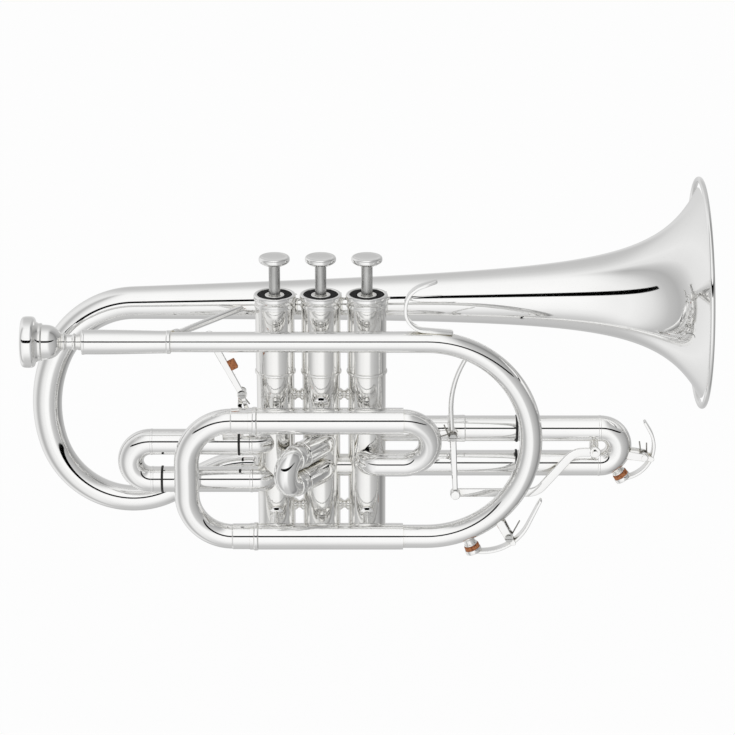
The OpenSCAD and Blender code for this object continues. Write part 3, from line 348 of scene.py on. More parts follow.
def tube(stations, wall, sides=48, seats=(None, None)):
    """A closed tube wall along stations. A seat is (x, y, r) of the casing that an end meets."""
    line = frames(stations)
    points, faces = [], []
    count = len(line)
    for inner in (False, True):
        for i, (p, t, a, b, r) in enumerate(line):
            radius = r - wall if inner else r
            for k in range(sides):
                angle = 2 * math.pi * k / sides
                q = p + (a * cos(angle) + b * sin(angle)) * radius
                if i == 0 and seats[0]:
                    q = seat(q, t, seats[0][:2], seats[0][2], False)
                if i == count - 1 and seats[1]:
                    q = seat(q, t, seats[1][:2], seats[1][2], True)
                points.append(q)
    inside = count * sides
    for k in range(sides):
        m = (k + 1) % sides
        for i in range(count - 1):
            a, b = i * sides, (i + 1) * sides
            faces.append([a + k, a + m, b + m, b + k])
            faces.append([inside + a + m, inside + a + k, inside + b + k, inside + b + m])
        end = (count - 1) * sides
        faces.append([m, k, inside + k, inside + m])
        faces.append([end + k, end + m, inside + end + m, inside + end + k])
    return points, faces


def solid(stations, sides=24, section=None, seats=(None, None)):
    """A closed bar along stations, round or with a section of (across, up) points times its radius."""
    line = frames(stations)
    if section is None:
        angles = [2 * math.pi * k / sides for k in range(sides)]
        section = [(cos(a), sin(a)) for a in angles]
    n = len(section)
    points, faces = [], []
    for i, (p, t, a, b, r) in enumerate(line):
        for u, v in section:
            q = p + (a * u + b * v) * r
            if i == 0 and seats[0]:
                q = seat(q, t, seats[0][:2], seats[0][2], False)
            if i == len(line) - 1 and seats[1]:
                q = seat(q, t, seats[1][:2], seats[1][2], True)
            points.append(q)
    for i in range(len(line) - 1):
        for k in range(n):
            m = (k + 1) % n
            faces.append([i * n + k, i * n + m, (i + 1) * n + m, (i + 1) * n + k])
    faces.append(list(range(n))[::-1])
    faces.append([(len(line) - 1) * n + k for k in range(n)])
    return points, faces


C = "corner"


def smooth(profile, steps=4):
    """More points through a profile, on a spline. A point marked C keeps its corner."""
    points = [Vector(p[:2]) for p in profile for _ in range(len(p) - 1)]
    runs, run = [], [points[0]]
    for p in points[1:]:
        if (p - run[-1]).length < 1e-6:
            runs.append(run)
            run = [p]
        else:
            run.append(p)
    runs.append(run)
    out = []
    for run in runs:
        if len(run) < 3:
            out += run
            continue
        ext = [2 * run[0] - run[1]] + run + [2 * run[-1] - run[-2]]
        for i in range(1, len(ext) - 2):
            a, b, c, d = ext[i - 1 : i + 3]
            for k in range(steps):
                s = k / steps
                out.append(
                    0.5 * ((2 * b) + (c - a) * s + (2 * a - 5 * b + 4 * c - d) * s * s
                           + (3 * b - a - 3 * c + d) * s * s * s)
                )
        out.append(run[-1])
    return [tuple(p) for p in out]


def lathe(profile, start, axis=Z, sides=72, closed=False):
    """A turned solid from (radius, distance along axis) points. A closed profile is a ring."""
    axis = Vector(axis).normalized()
    across = (X if abs(axis.x) < 0.9 else Y).cross(axis).normalized()
    other = axis.cross(across)
    start = Vector(start)
    points, faces, rings = [], [], []
    for r, h in profile:
        base = len(points)
        if r < 1e-6:
            points.append(start + axis * h)
            rings.append((base, 1))
            continue
        for k in range(sides):
            a = 2 * math.pi * k / sides
            points.append(start + axis * h + (across * cos(a) + other * sin(a)) * r)
        rings.append((base, sides))
    pairs = list(zip(rings, rings[1:]))
    if closed:
        pairs.append((rings[-1], rings[0]))
    for (a, na), (b, nb) in pairs:
        for k in range(sides):
            m = (k + 1) % sides
            quad = [a + (k if na > 1 else 0), a + (m if na > 1 else 0),
                    b + (m if nb > 1 else 0), b + (k if nb > 1 else 0)]
            face = [q for i, q in enumerate(quad) if q not in quad[:i]]
            if len(face) > 2:
                faces.append(face)
    if not closed:
        for base, n in (rings[0], rings[-1]):
            if n > 1:
                faces.append([base + k for k in range(n)])
    return points, faces


def turned(profile, at, y, sides, closed=False):
    """A turned solid along Y from y, about an (x, z) point."""
    return lathe(profile, (at.x, y, at.y), Y, sides, closed)


def eye(hole, r, height, ease=0.2):
    """The profile of a round eye with eased edges."""
    return [(hole, 0), (r - ease, 0), (r, 0.2), (r, height - 0.2), (r - ease, height), (hole, height)]


def straight(x0, x1, y, z, r, wall):
    """A straight tube along X."""
    return tube([(Vector((x, y, z)), X, r) for x in (x0, x1)], wall, 64)


def rounded(half_a, half_b, corner, steps=4):
    """A rounded rectangle's section."""
    out = []
    for cx, cy, first in ((1, 1, 0), (-1, 1, 90), (-1, -1, 180), (1, -1, 270)):
        for k in range(steps + 1):
            a = radians(first + 90 * k / steps)
            out.append((cx * (half_a - corner) + corner * cos(a),
                        cy * (half_b - corner) + corner * sin(a)))
    return out


def plate(outline, y0, y1, bevel=0.2):
    """A flat plate in the XZ plane from an outline of (x, z), with its edges eased."""
    n = len(outline)
    middle = sum((Vector(p) for p in outline), Vector((0, 0))) / n
    layers = []
    for y, inset in ((y0, bevel), (y0 + bevel, 0), (y1 - bevel, 0), (y1, bevel)):
        layer = []
        for i, p in enumerate(outline):
            a, b, c = Vector(outline[i - 1]), Vector(p), Vector(outline[(i + 1) % n])
            tangent = (c - a).normalized()
            normal = Vector((-tangent.y, tangent.x))
            layer.append(b + normal * inset)
        layers.append([Vector((q.x, y, q.y)) for q in layer])
    points = [p for layer in layers for p in layer]
    faces = [[i for i in range(n)], [3 * n + i for i in range(n)]]
    for j in range(3):
        for i in range(n):
            m = (i + 1) % n
            faces.append([j * n + i, j * n + m, (j + 1) * n + m, (j + 1) * n + i])
    return points, faces


def slab(a, b, ra, rb, sides=14):
    """The outline of an arm with round ends between two (x, z) points, anticlockwise."""
    a, b = Vector(a), Vector(b)
    d = (b - a).normalized()
    heading = math.atan2(d.y, d.x)
    out = []
    for centre, r, first in ((b, rb, -90), (a, ra, 90)):
        for k in range(sides + 1):
            angle = heading + radians(first + 180 * k / sides)
            out.append((centre.x + r * cos(angle), centre.y + r * sin(angle)))
    return out


def post(a, b, rod_r, foot_r, foot, seats=(None, None), feet=(True, True)):
    """A turned post between two points, with a round foot that runs into the rod at either end."""
    a, b = Vector(a), Vector(b)
    t = (b - a).normalized()
    length = (b - a).length
    stations = []
    for end in (0, 1):
        if feet[end]:
            profile = [(foot_r, 0), (foot_r, foot * 0.6), (foot_r * 0.92, foot), (rod_r * 1.2, foot + 0.35),
                       (rod_r, foot + 0.9)]
        else:
            profile = [(rod_r, 0)]
        marks = [(h if end == 0 else length - h, r) for r, h in profile]
        stations += marks if end == 0 else marks[::-1]
    return solid([(a + t * h, t, r) for h, r in stations], 32, None, seats)


def coil(start, axis, r, wire, height, turns, sides=10, per_turn=28):
    """A helical wire round an axis."""
    axis = Vector(axis).normalized()
    across = (X if abs(axis.x) < 0.9 else Y).cross(axis).normalized()
    other = axis.cross(across)
    stations = []
    count = round(turns * per_turn)
    for i in range(count + 1):
        a = 2 * math.pi * turns * i / count
        p = Vector(start) + axis * height * i / count + (across * cos(a) + other * sin(a)) * r
        t = (across * -sin(a) + other * cos(a)) * r + axis * height / (2 * math.pi * turns)
        stations.append((p, t.normalized(), wire))
    return solid(stations, sides)


def casing_seat(n, r=CASING_R - 0.3):
    return (valve_x(n), 0.0, r)


# ---- bell

BELL_MOUTH = (195.3, 28.0, 29.9)
BELL_LEN = 291.5
BELL_TILT = 1.05
TAIL_Y, TAIL_Z = 9.0, -56.1
TAIL_R = 6.2
MOUTH_R = 59.5
BEAD_R = 1.4
BELL_WALL = 0.6


def flare_r(d):
    return 40687 * (d + 39) ** -1.85 + 11.56 - 0.014 * d


def flare_slope(d):
    return 1.85 * 40687 * (d + 39) ** -2.85 + 0.014


def bell_path():
    tilt = radians(BELL_TILT)
    back = Vector((-cos(tilt), 0, -sin(tilt)))
    path = Path(BELL_MOUTH, back, Vector((0, -1, 0)))
    steps = 90
    first = 1.9
    for i in range(steps + 1):
        d = first + (BELL_LEN - first) * (i / steps) ** 1.8
        path.stations.append((Vector(BELL_MOUTH) + back * d, back, flare_r(d)))
    path.p = Vector(BELL_MOUTH) + back * BELL_LEN
    drop = BELL_MOUTH[2] - BELL_LEN * sin(tilt) - TAIL_Z
    side = BELL_MOUTH[1] - TAIL_Y
    lean = math.degrees(math.atan2(side, drop))
    path.roll(lean - 90)
    radii, heads, dip, back_r = (44.5, 63, 43.5), (BELL_TILT, 66, 108, 205), 25, 40
    lengths = [r * radians(b - a) for r, a, b in zip(radii, heads, heads[1:])]
    r_now, narrowing = flare_r(BELL_LEN), flare_r(BELL_LEN) - TAIL_R - 0.15
    fallen = 0
    for r, a, b, length in zip(radii, heads, heads[1:], lengths):
        r_next = r_now - narrowing * length / sum(lengths)
        path.turn(r, b - a, r_now, r_next)
        r_now = r_next
        fallen += r * (cos(radians(a)) - cos(radians(b)))
    rise = fallen - math.hypot(side, drop) - back_r * (1 - cos(radians(dip)))
    path.go(rise / sin(radians(dip)), r_now, TAIL_R)
    path.turn(back_r, -dip, TAIL_R).go(2.4, TAIL_R).roll(90 + lean).turn(9, 45, TAIL_R).go(2, TAIL_R)
    return path, back


def bell():
    path, back = bell_path()
    line = path.stations
    points, faces = tube(line, BELL_WALL, 128, (None, casing_seat(1)))
    # near the mouth the sheet is steep, so its inside is set off square to it
    clean = len(points) // 2 // 128
    for i in range(clean):
        d = (line[i][0] - Vector(BELL_MOUTH)).length
        if d > 120 or i > 90:
            break
        centre, t = line[i][0], line[i][1]
        slope = flare_slope(d)
        shrink = BELL_WALL * math.sqrt(1 + slope * slope)
        for k in range(128):
            j = clean * 128 + i * 128 + k
            away = points[j] - centre
            points[j] = centre + away.normalized() * (flare_r(d) - shrink)
    bead = [
        (MOUTH_R - BEAD_R + BEAD_R * cos(a), BEAD_R + BEAD_R * sin(a))
        for a in (2 * math.pi * k / 20 for k in range(20))
    ]
    rim = lathe(bead, BELL_MOUTH, back, 160, True)
    build("bell_shell", [(points, faces), rim], ["bell"])


bell()

# ---- leadpipe, receiver, mouthpiece

LEAD_Z = 21.4
BIG_R = 52.6
LEAD_END = 53.3
RECEIVER = (-118.7, -74.3)
TUNING_X = (-34.4, 37.4)
UPPER_Z = -20.8
LOWER_Z = LEAD_Z - 2 * BIG_R

lead = Path((RECEIVER[1] - 8, FRONT_Y, LEAD_Z))
lead.go(LEAD_END - RECEIVER[1] + 8, 5.0, 5.45, 8).roll(-90).turn(BIG_R, 180, 5.45, 5.95)
lead.go(LEAD_END - TUNING_X[1] + 5, 5.95)
build("leadpipe_tube", [tube(lead.stations, 0.5, 64)], ["leadpipe"])

receiver_profile = [
    (4.14, 0, C), (5.8, 0), (6.15, 0.15), (6.32, 0.5), (6.32, 1.1), (6.2, 1.6), (6.16, 2.4),
    (6.18, 8), (6.12, 16), (5.95, 26), (5.72, 36), (5.64, 41.6), (5.64, 42.2), (5.86, 42.6), (5.9, 43.3),
    (5.86, 44), (5.6, 44.4, C), (5.03, 44.4, C), (5.03, 24, C), (4.14, 23.8, C),
]
build("receiver_tube", [lathe(smooth(receiver_profile, 3), (RECEIVER[0], FRONT_Y, LEAD_Z), X, 72, True)],
      ["mouthpiece_receiver"])

RIM_FACE = -148.6
mouthpiece_profile = [
    (8.3, 2.6), (8.5, 1.4), (9.2, 0.5), (10.6, 0.05), (11.8, 0.25), (12.55, 1.1), (12.8, 2.4), (12.8, 4.6),
    (12.55, 5.9), (11.9, 6.6), (11.0, 6.9), (10.2, 7.3), (9.75, 8.0), (9.4, 8.7), (9.4, 9.0), (9.5, 9.6),
    (9.35, 10.1), (8.8, 10.4), (8.7, 11.0), (8.6, 13.0), (8.2, 15.0), (7.3, 16.9), (6.0, 18.3), (4.9, 19.2),
    (4.2, 19.9), (4.25, 20.4), (4.75, 20.8), (4.85, 21.3), (4.6, 21.9), (3.95, 22.4), (3.75, 23.4),
    (3.75, 25.2), (3.9, 25.6), (4.3, 25.9), (4.35, 26.3), (4.2, 26.8), (3.85, 27.1), (3.8, 28.4),
    (3.95, 29.4), (4.1, 30.2), (4.1, 52.2, C), (3.2, 52.4, C), (2.6, 36), (1.9, 21),
    (1.9, 19), (2.6, 17.0), (4.4, 14.8), (6.2, 12.4), (7.4, 9.2), (8.1, 5.4),
]
build("mouthpiece_cup", [lathe(smooth(mouthpiece_profile, 3), (RIM_FACE, FRONT_Y, LEAD_Z), X, 96, True)],
      ["mouthpiece"])

# ---- tuning slide

SLEEVE = 6.8
for name, z in (("tuning_sleeve_upper", UPPER_Z), ("tuning_sleeve_lower", LOWER_Z)):
    length = TUNING_X[1] - TUNING_X[0]
    profile = [
        (6.05, 0, C), (6.75, 0), (7.05, 0.15), (7.2, 0.5), (7.25, 1.0), (7.22, 1.6), (7.1, 2.1),
        (6.85, 2.4, C), (6.8, 2.5), (6.8, length - 0.3), (6.72, length, C),
        (6.05, length, C),
    ]
    build(name + "_tube", [lathe(smooth(profile, 2), (TUNING_X[0], FRONT_Y, z), X, 72, True)], [name])

CROOK_R = 6.3
BEND_R = 23.0
LEG = 55.0
gap = 0.2
ferrule = 10.4
tuning = Path((TUNING_X[0] - gap - ferrule, FRONT_Y, UPPER_Z), -X, -Y).roll(-90)
tuning.turn(BEND_R, 90, CROOK_R).go(UPPER_Z - LOWER_Z - 2 * BEND_R, CROOK_R).turn(BEND_R, 90, CROOK_R)
shells = [tube(tuning.stations, INNER_WALL, 64)]
for z in (UPPER_Z, LOWER_Z):
    profile = [
        (5.4, 0, C), (6.45, 0), (6.6, 0.2), (6.6, 1.0), (6.58, ferrule - 1.2), (6.6, ferrule - 0.25),
        (6.45, ferrule), (6.35, ferrule + 0.35), (6.3, ferrule + 0.5), (5.4, ferrule + 0.5, C),
    ]
    shells.append(lathe(smooth(profile, 2), (TUNING_X[0] - gap, FRONT_Y, z), -X, 72, True))
    shells.append(straight(TUNING_X[0] - gap, TUNING_X[0] - gap + LEG, FRONT_Y, z, PIPE_R, INNER_WALL))
build("tuning_crook", shells, ["tuning_slide"])

# ---- valve entry bend

ENTRY_Y, ENTRY_Z = -16.2, -47.3
ENTRY_ELBOW = 6.2
lean = math.degrees(math.atan2(ENTRY_Z - UPPER_Z, ENTRY_Y - FRONT_Y))
entry_r = math.hypot(ENTRY_Y - FRONT_Y, ENTRY_Z - UPPER_Z) / 2
entry = Path((TUNING_X[1] - 5, FRONT_Y, UPPER_Z))
entry.go(9, 5.95).roll(lean).turn(entry_r, 180, 5.95).roll(180 + lean)
entry.go(TUNING_X[1] + 4 - ENTRY_ELBOW - PITCH, 5.95).turn(ENTRY_ELBOW, 90, 5.95).go(2, 5.95)
build("entry_tube", [tube(entry.stations, WALL, 64, (None, casing_seat(3)))], ["valve_entry_bend"])

# ---- valves

for n in (1, 2, 3):
    profile = [
        (BORE_R, CASING_BOTTOM, C), (CASING_R, CASING_BOTTOM, C), (CASING_R, -3.4),
        (CASING_R + 0.1, -3.0), (10.2, -2.9), (10.35, -2.5), (10.35, -1.9), (10.2, -1.5),
        (COLLAR_R + 0.05, -1.3), (COLLAR_R, -1.0), (COLLAR_R, CASING_TOP - 0.2),
        (COLLAR_R - 0.15, CASING_TOP, C), (BORE_R, CASING_TOP, C),
    ]
    build(f"valve_casing_{n}_tube", [lathe(smooth(profile, 2), (valve_x(n), 0, 0), Z, 96, True)],
          [f"valve_casing_{n}"], CASING_SILVER)

CROSS_Z = -53.8
build("crossovers", [
    tube([(Vector((valve_x(n) + 9, 0, CROSS_Z)), X, 5.7), (Vector((valve_x(n + 1) - 9, 0, CROSS_Z)), X, 5.7)],
         WALL, 48, (casing_seat(n), casing_seat(n + 1))) for n in (1, 2)], ["crossover_tubes"], CASING_SILVER)
build("casing_bars", [
    post((valve_x(n) + CASING_R - 0.3, 0, z), (valve_x(n + 1) - CASING_R + 0.3, 0, z), 2.0, 3.1, 1.1,
         (casing_seat(n), casing_seat(n + 1))) for n in (1, 2) for z in (-14.9, -75.5)],
      ["casing_braces"], CASING_SILVER)

FELT_BOTTOM, FELT_TOP, FELT_R, BOSS_R = 37.4, 38.6, 8.75, 5.0
cap_profile = [
    (8.55, 28.5, C), (8.55, 32.5, C), (10.1, 32.5), (10.3, 32.7), (10.3, 33.4), (10.05, 33.8),
    (9.95, 34.2), (10.0, 35.0), (10.2, 35.8), (10.5, 36.4), (10.65, 37.0), (10.65, 37.9), (10.45, 38.6),
    (10.0, 38.95), (9.5, 39.0), (9.0, 38.9), (8.75, 38.6, C), (8.75, 37.4, C), (5.0, 37.4, C),
    (5.0, 38.2), (4.8, 38.55), (4.3, 38.7), (3.7, 38.6), (3.2, 38.35), (2.93, 38.2, C), (2.93, 35.4, C),
    (6.95, 35.4, C), (6.95, 28.5, C),
]
build("top_caps_turned", [lathe(smooth(cap_profile, 3), (valve_x(n), 0, 0), Z, 96, True) for n in (1, 2, 3)],
      ["top_caps"], SILVER)
felt_profile = [
    (BOSS_R + 0.03, FELT_BOTTOM), (BOSS_R + 0.03, FELT_TOP - 0.3), (BOSS_R + 0.3, FELT_TOP - 0.04),
    (BOSS_R + 0.8, FELT_TOP), (FELT_R - 0.8, FELT_TOP), (FELT_R - 0.3, FELT_TOP - 0.04),
    (FELT_R - 0.03, FELT_TOP - 0.3), (FELT_R - 0.03, FELT_BOTTOM),
]
build("felt_rings", [lathe(felt_profile, (valve_x(n), 0, 0), Z, 72, True) for n in (1, 2, 3)], ["cap_felts"])

base = CASING_BOTTOM
bottom_profile = [
    (1.0, base - 4.5, C), (2.6, base - 4.5), (3.3, base - 4.3), (3.9, base - 3.9), (4.6, base - 3.7),
    (7.4, base - 3.7), (8.6, base - 3.5), (9.5, base - 2.9), (9.9, base - 2.2), (9.95, base - 1.4),
    (9.9, base - 0.6), (9.75, base - 0.1, C), (8.55, base, C), (8.55, base + 2, C), (7.2, base + 2, C),
    (7.2, base - 2, C), (1.0, base - 2, C),
]
build("bottom_caps_turned",
      [lathe(smooth(bottom_profile, 2), (valve_x(n), 0, 0), Z, 96, True) for n in (1, 2, 3)],
      ["bottom_caps"], CASING_SILVER)

BARREL_TOP, BUTTON_BOTTOM, STEM_R, BUTTON_R = 13.0, 54.0, 2.85, 7.8
STEM_H = BUTTON_BOTTOM - BARREL_TOP
stem_profile = [
    (0, 0), (7.5, 0, C), (7.6, 0.2), (7.6, 1.8), (7.4, 2.0), (3.4, 2.0), (3.0, 2.2), (STEM_R, 2.8),
    (STEM_R, STEM_H, C), (0, STEM_H),
]
button_profile = [
    (0, 0), (STEM_R + 0.4, 0, C), (3.7, 0.12), (4.6, 0.35), (5.6, 0.75), (6.5, 1.25), (7.2, 1.75),
    (7.6, 2.2), (7.78, 2.7), (BUTTON_R, 3.3), (7.72, 3.9), (7.5, 4.35), (7.1, 4.65), (6.6, 4.7), (6.2, 4.55),
    (5.4, 4.3), (4.0, 4.12), (2.0, 4.02), (0, 4.0),
]
for n in (1, 2, 3):
    top = Vector((valve_x(n), 0, 0))
    build(f"stem_{n}", [lathe(smooth(stem_profile, 1), top + Z * BARREL_TOP, Z, 64)], [f"valve_stem_{n}"])
    build(f"button_{n}", [lathe(smooth(button_profile, 3), top + Z * BUTTON_BOTTOM, Z, 72)],
          [f"finger_button_{n}"])

GUIDE_TOP = -11.0
for n in (1, 2, 3):
    height = BARREL_TOP - GUIDE_TOP - 0.1
    wire = coil((valve_x(n), 0, GUIDE_TOP + 0.5), Z, 4.0, 0.42, height - 1.0, 8, 8, 20)
    spring = build(f"spring_{n}", [wire], [f"valve_spring_{n}"])
    foot = row((valve_x(n), 0, GUIDE_TOP))
    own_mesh(spring)

# ---- valve slides

SLIDE_Y = -7.0
FIRST_Z = (-38.3, -58.9)
FIRST_UP, FIRST_LOW, FIRST_CROOK, FIRST_LEG = -41.2, -80.7, -87.0, 36
RING = 1.1


def collar(x, y, z, r_in, r_out, width, direction=X, soft=0.25):
    """A ring round a slide tube."""
    profile = [
        (r_in, 0, C), (r_out - soft, 0), (r_out, soft), (r_out, width - soft), (r_out - soft, width),
        (r_in, width, C),
    ]
    return lathe(smooth(profile, 1), (x, y, z), direction, 64, True)


shells = []
for z, x, turn_x in ((FIRST_Z[0], FIRST_UP, -33.9), (FIRST_Z[1], FIRST_LOW, -33.3)):
    run = Path((x, SLIDE_Y, z)).go(turn_x - x, SLEEVE_R).turn(7.5, 45, SLEEVE_R).go(1.0, SLEEVE_R)
    shells.append(tube(run.stations, WALL, 64, (None, casing_seat(1))))
shells.append(straight(FIRST_UP - FIRST_LEG, FIRST_UP + 3, SLIDE_Y, FIRST_Z[0], PIPE_R, WALL))
shells.append(collar(FIRST_UP + 0.4, SLIDE_Y, FIRST_Z[0], PIPE_R - 0.2, SLEEVE_R - 0.02, 2.4))
shells.append(collar(-36.6, SLIDE_Y, FIRST_Z[0], SLEEVE_R - 0.3, SLEEVE_R + 0.22, 1.6))
shells.append(collar(-36.6, SLIDE_Y, FIRST_Z[1], SLEEVE_R - 0.3, SLEEVE_R + 0.22, 1.6))
build("first_sleeves", shells, ["first_slide_tubes"])

first_crook_r = (FIRST_Z[0] - FIRST_Z[1]) / 2
upper, lower = FIRST_UP - RING - FIRST_CROOK, FIRST_LOW - RING - FIRST_CROOK
crook = Path((FIRST_UP - RING, SLIDE_Y, FIRST_Z[0]), -X, -Y)
crook.go(upper, SLEEVE_R).roll(-90).turn(first_crook_r, 180, SLEEVE_R).go(lower, SLEEVE_R)
shells = [tube(crook.stations, WALL, 64)]
for z in FIRST_Z:
    shells.append(collar(FIRST_CROOK - 0.1, SLIDE_Y, z, SLEEVE_R - 0.3, SLEEVE_R + 0.14, 1.4))
inner_x = (FIRST_LOW - RING - lower, FIRST_LOW - RING + FIRST_LEG)
shells.append(straight(*inner_x, SLIDE_Y, FIRST_Z[1], PIPE_R, WALL))
FIRST_PIVOT = Vector((-39.7, -9.8))
FIRST_ARM = 13.0
first_swing = math.asin(7.4 / 2 / FIRST_ARM)
FIRST_JOINT = FIRST_PIVOT + Vector((sin(first_swing), -cos(first_swing))) * FIRST_ARM
LUG_X = -52.0
LINK_Y = (-12.9, -11.5)
lug = slab((LUG_X, FIRST_JOINT.y), (LUG_X, FIRST_Z[0] + 3.4), 1.8, 2.3)
shells.append(plate(lug, LINK_Y[0], LINK_Y[1], 0.15))
build("first_crook", shells, ["first_slide"])


def rubber(x, y, z):
    profile = [
        (PIPE_R + 0.03, 0, C), (6.7, 0), (6.95, 0.15), (7.02, 0.6), (6.95, 1.05), (6.7, 1.2),
        (PIPE_R + 0.03, 1.2, C),
    ]
    return lathe(smooth(profile, 2), (x - RING - 0.15, y, z), X, 64, True)


build("first_bumpers", [rubber(FIRST_UP, SLIDE_Y, FIRST_Z[0]), rubber(FIRST_LOW, SLIDE_Y, FIRST_Z[1])],
      ["first_slide_rings"])

SECOND_Z = (-38.9, -52.9)
SECOND_ANGLE = 55.0
MOUTH = Vector((-1.4, -11.2))
SECOND_SLEEVE, SECOND_REACH, SECOND_LEG = 15.0, 21.0, 13.0
inward = Vector((cos(radians(SECOND_ANGLE)), sin(radians(SECOND_ANGLE)), 0))
side = Z.cross(inward)
shells = []
for z in SECOND_Z:
    start = Vector((MOUTH.x, MOUTH.y, z)) - inward * SECOND_SLEEVE
    run = Path(start, inward, side).go(SECOND_SLEEVE, SLEEVE_R).turn(12, 90 - SECOND_ANGLE, SLEEVE_R)
    run.go(0.5, SLEEVE_R)
    shells.append(tube(run.stations, WALL, 64, (None, casing_seat(2))))
    shells.append(collar(start.x, start.y, z, SLEEVE_R - 0.4, SLEEVE_R + 0.3, 1.2, inward))
build("second_sleeves", shells, ["second_slide_tubes"])

start = Vector((MOUTH.x, MOUTH.y, SECOND_Z[0])) - inward * (SECOND_SLEEVE + 0.1)
neck = SECOND_REACH - SECOND_SLEEVE
second_r = (SECOND_Z[0] - SECOND_Z[1]) / 2
run = Path(start + inward * SECOND_LEG, -inward, -side).go(SECOND_LEG + neck, PIPE_R)
run.roll(-90).turn(second_r, 180, PIPE_R).go(SECOND_LEG + neck, PIPE_R)
shells = [tube(run.stations, INNER_WALL, 64)]
for z in SECOND_Z:
    p = Vector((start.x, start.y, z))
    profile = [
        (5.5, 0, C), (6.4, 0), (6.6, 0.2), (6.6, neck - 0.5), (6.45, neck - 0.1), (6.05, neck + 0.2),
        (5.5, neck + 0.2, C),
    ]
    shells.append(lathe(smooth(profile, 1), p, -inward, 64, True))
build("second_crook", shells, ["second_slide"])

THIRD_Z = (-33.7, -52.7)
THIRD_SLEEVE, THIRD_CROOK, THIRD_LEG = 99.2, 142.6, 58
third_r = (THIRD_Z[0] - THIRD_Z[1]) / 2
build("third_sleeves", [
    tube([(Vector((PITCH + 8, 0, z)), X, SLEEVE_R), (Vector((THIRD_SLEEVE, 0, z)), X, SLEEVE_R)],
         WALL, 64, (casing_seat(3), None)) for z in THIRD_Z], ["third_slide_tubes"])
start_x = THIRD_SLEEVE + RING
run = Path((start_x, 0, THIRD_Z[0])).go(THIRD_CROOK - start_x, SLEEVE_R).roll(-90)
run.turn(third_r, 180, SLEEVE_R).go(THIRD_CROOK - start_x, SLEEVE_R)
shells = [tube(run.stations, WALL, 64)]
for z in THIRD_Z:
    shells.append(straight(start_x - THIRD_LEG, start_x + 4, 0, z, PIPE_R, INNER_WALL))
    shells.append(collar(start_x, 0, z, PIPE_R - 0.3, SLEEVE_R - 0.1, 3))
    shells.append(collar(THIRD_CROOK - 1.2, 0, z, SLEEVE_R - 0.3, SLEEVE_R + 0.14, 1.4))
STAY_X = 139.4
stay_z = sum(THIRD_Z) / 2
stay_profile = [
    (3.0, -4.1), (2.9, -3.3), (2.25, -2.9), (2.2, -2.4), (2.3, -1.6), (2.45, 0), (2.3, 1.6), (2.2, 2.4),
    (2.25, 2.9), (2.9, 3.3), (3.0, 4.1),
]
shells.append(lathe(smooth(stay_profile, 2), (STAY_X, 0, stay_z), Z, 40))
shells.append(lathe([(1.2, 0), (1.2, 11.2)], (STAY_X, -11.2, stay_z), Y, 32))
build("third_crook", shells, ["third_slide"])
build("third_bumpers", [rubber(THIRD_SLEEVE + RING, 0, z) for z in THIRD_Z], ["third_slide_rings"])

# ---- first trigger

LEVER_Y = (-14.7, -13.1)
FIRST_TIP = Vector((-55.6, 21.0))
knee, foot = (-41.2, -17.0), (-38.0, FIRST_Z[0] + 5.6)
build("first_post", [
    plate(slab(FIRST_PIVOT, knee, 2.0, 1.0), -11.3, -9.9, 0.15),
    plate(slab(knee, foot, 1.0, 1.6), -11.3, -9.9, 0.15),
    turned([(1.05, 0), (1.9, 0), (1.9, 1.75), (1.05, 1.75)], FIRST_PIVOT, -13.05, 32, True),
], ["first_trigger_post"])
build("first_lever", [
    plate(slab(FIRST_PIVOT, FIRST_TIP, 1.5, 1.9), LEVER_Y[0], LEVER_Y[1], 0.3),
    plate(slab(FIRST_TIP + (FIRST_PIVOT - FIRST_TIP).normalized() * 0.5, FIRST_TIP, 3.0, 3.0),
          LEVER_Y[0] + 0.05, LEVER_Y[1] - 0.05, 0.4),
    turned(eye(1.05, 2.5, 1.6), FIRST_PIVOT, LEVER_Y[0], 32, True),
    plate(slab(FIRST_PIVOT.lerp(FIRST_JOINT, 0.12), FIRST_JOINT.lerp(FIRST_PIVOT, 0.16), 1.1, 1.0),
          LEVER_Y[0], LEVER_Y[1], 0.25),
    turned(eye(1.75, 2.5, 1.6, 0.1), FIRST_JOINT, LEVER_Y[0], 32, True),
], ["first_trigger_lever"])
along = (FIRST_TIP - FIRST_PIVOT).normalized()
across = Vector((along.y, -along.x))
cork_at = Vector((-44.7, 3.0)) + across * 1.9 + along * 2.6
corners = [cork_at + across * (sx * 1.9) + along * (sz * 2.5)
           for sx, sz in ((1, -1), (1, 1), (-1, 1), (-1, -1))]
outline = []
for i, c in enumerate(corners):
    before, after = corners[i - 1], corners[(i + 1) % 4]
    for k in range(5):
        s = k / 4
        a, b = c + (before - c).normalized() * 0.5, c + (after - c).normalized() * 0.5
        outline.append(tuple((1 - s) ** 2 * a + 2 * s * (1 - s) * c + s * s * b))
build("first_lever_cork", [plate(outline, LEVER_Y[0] - 0.6, LEVER_Y[1] + 1.0, 0.4)], ["first_trigger_cork"])

link_y = sum(LINK_Y) / 2
build("first_link", [
    solid([(Vector((x, link_y, FIRST_JOINT.y)), X, 0.75) for x in (LUG_X + 1.7, FIRST_JOINT.x)], 20),
    turned([(1.0, 0), (1.0, 3.2)], FIRST_JOINT, LEVER_Y[0] - 0.3, 28),
    turned([(0.6, 0), (1.9, 0.1), (2.2, 0.35), (2.2, 0.9)], FIRST_JOINT, LEVER_Y[0] - 1.0, 32),
    lathe([(0.5, 0), (1.5, 0.1), (1.7, 0.3), (1.7, 0.55)], (LUG_X, LINK_Y[0] - 0.6, FIRST_JOINT.y), Y, 32),
], ["first_trigger_link"])


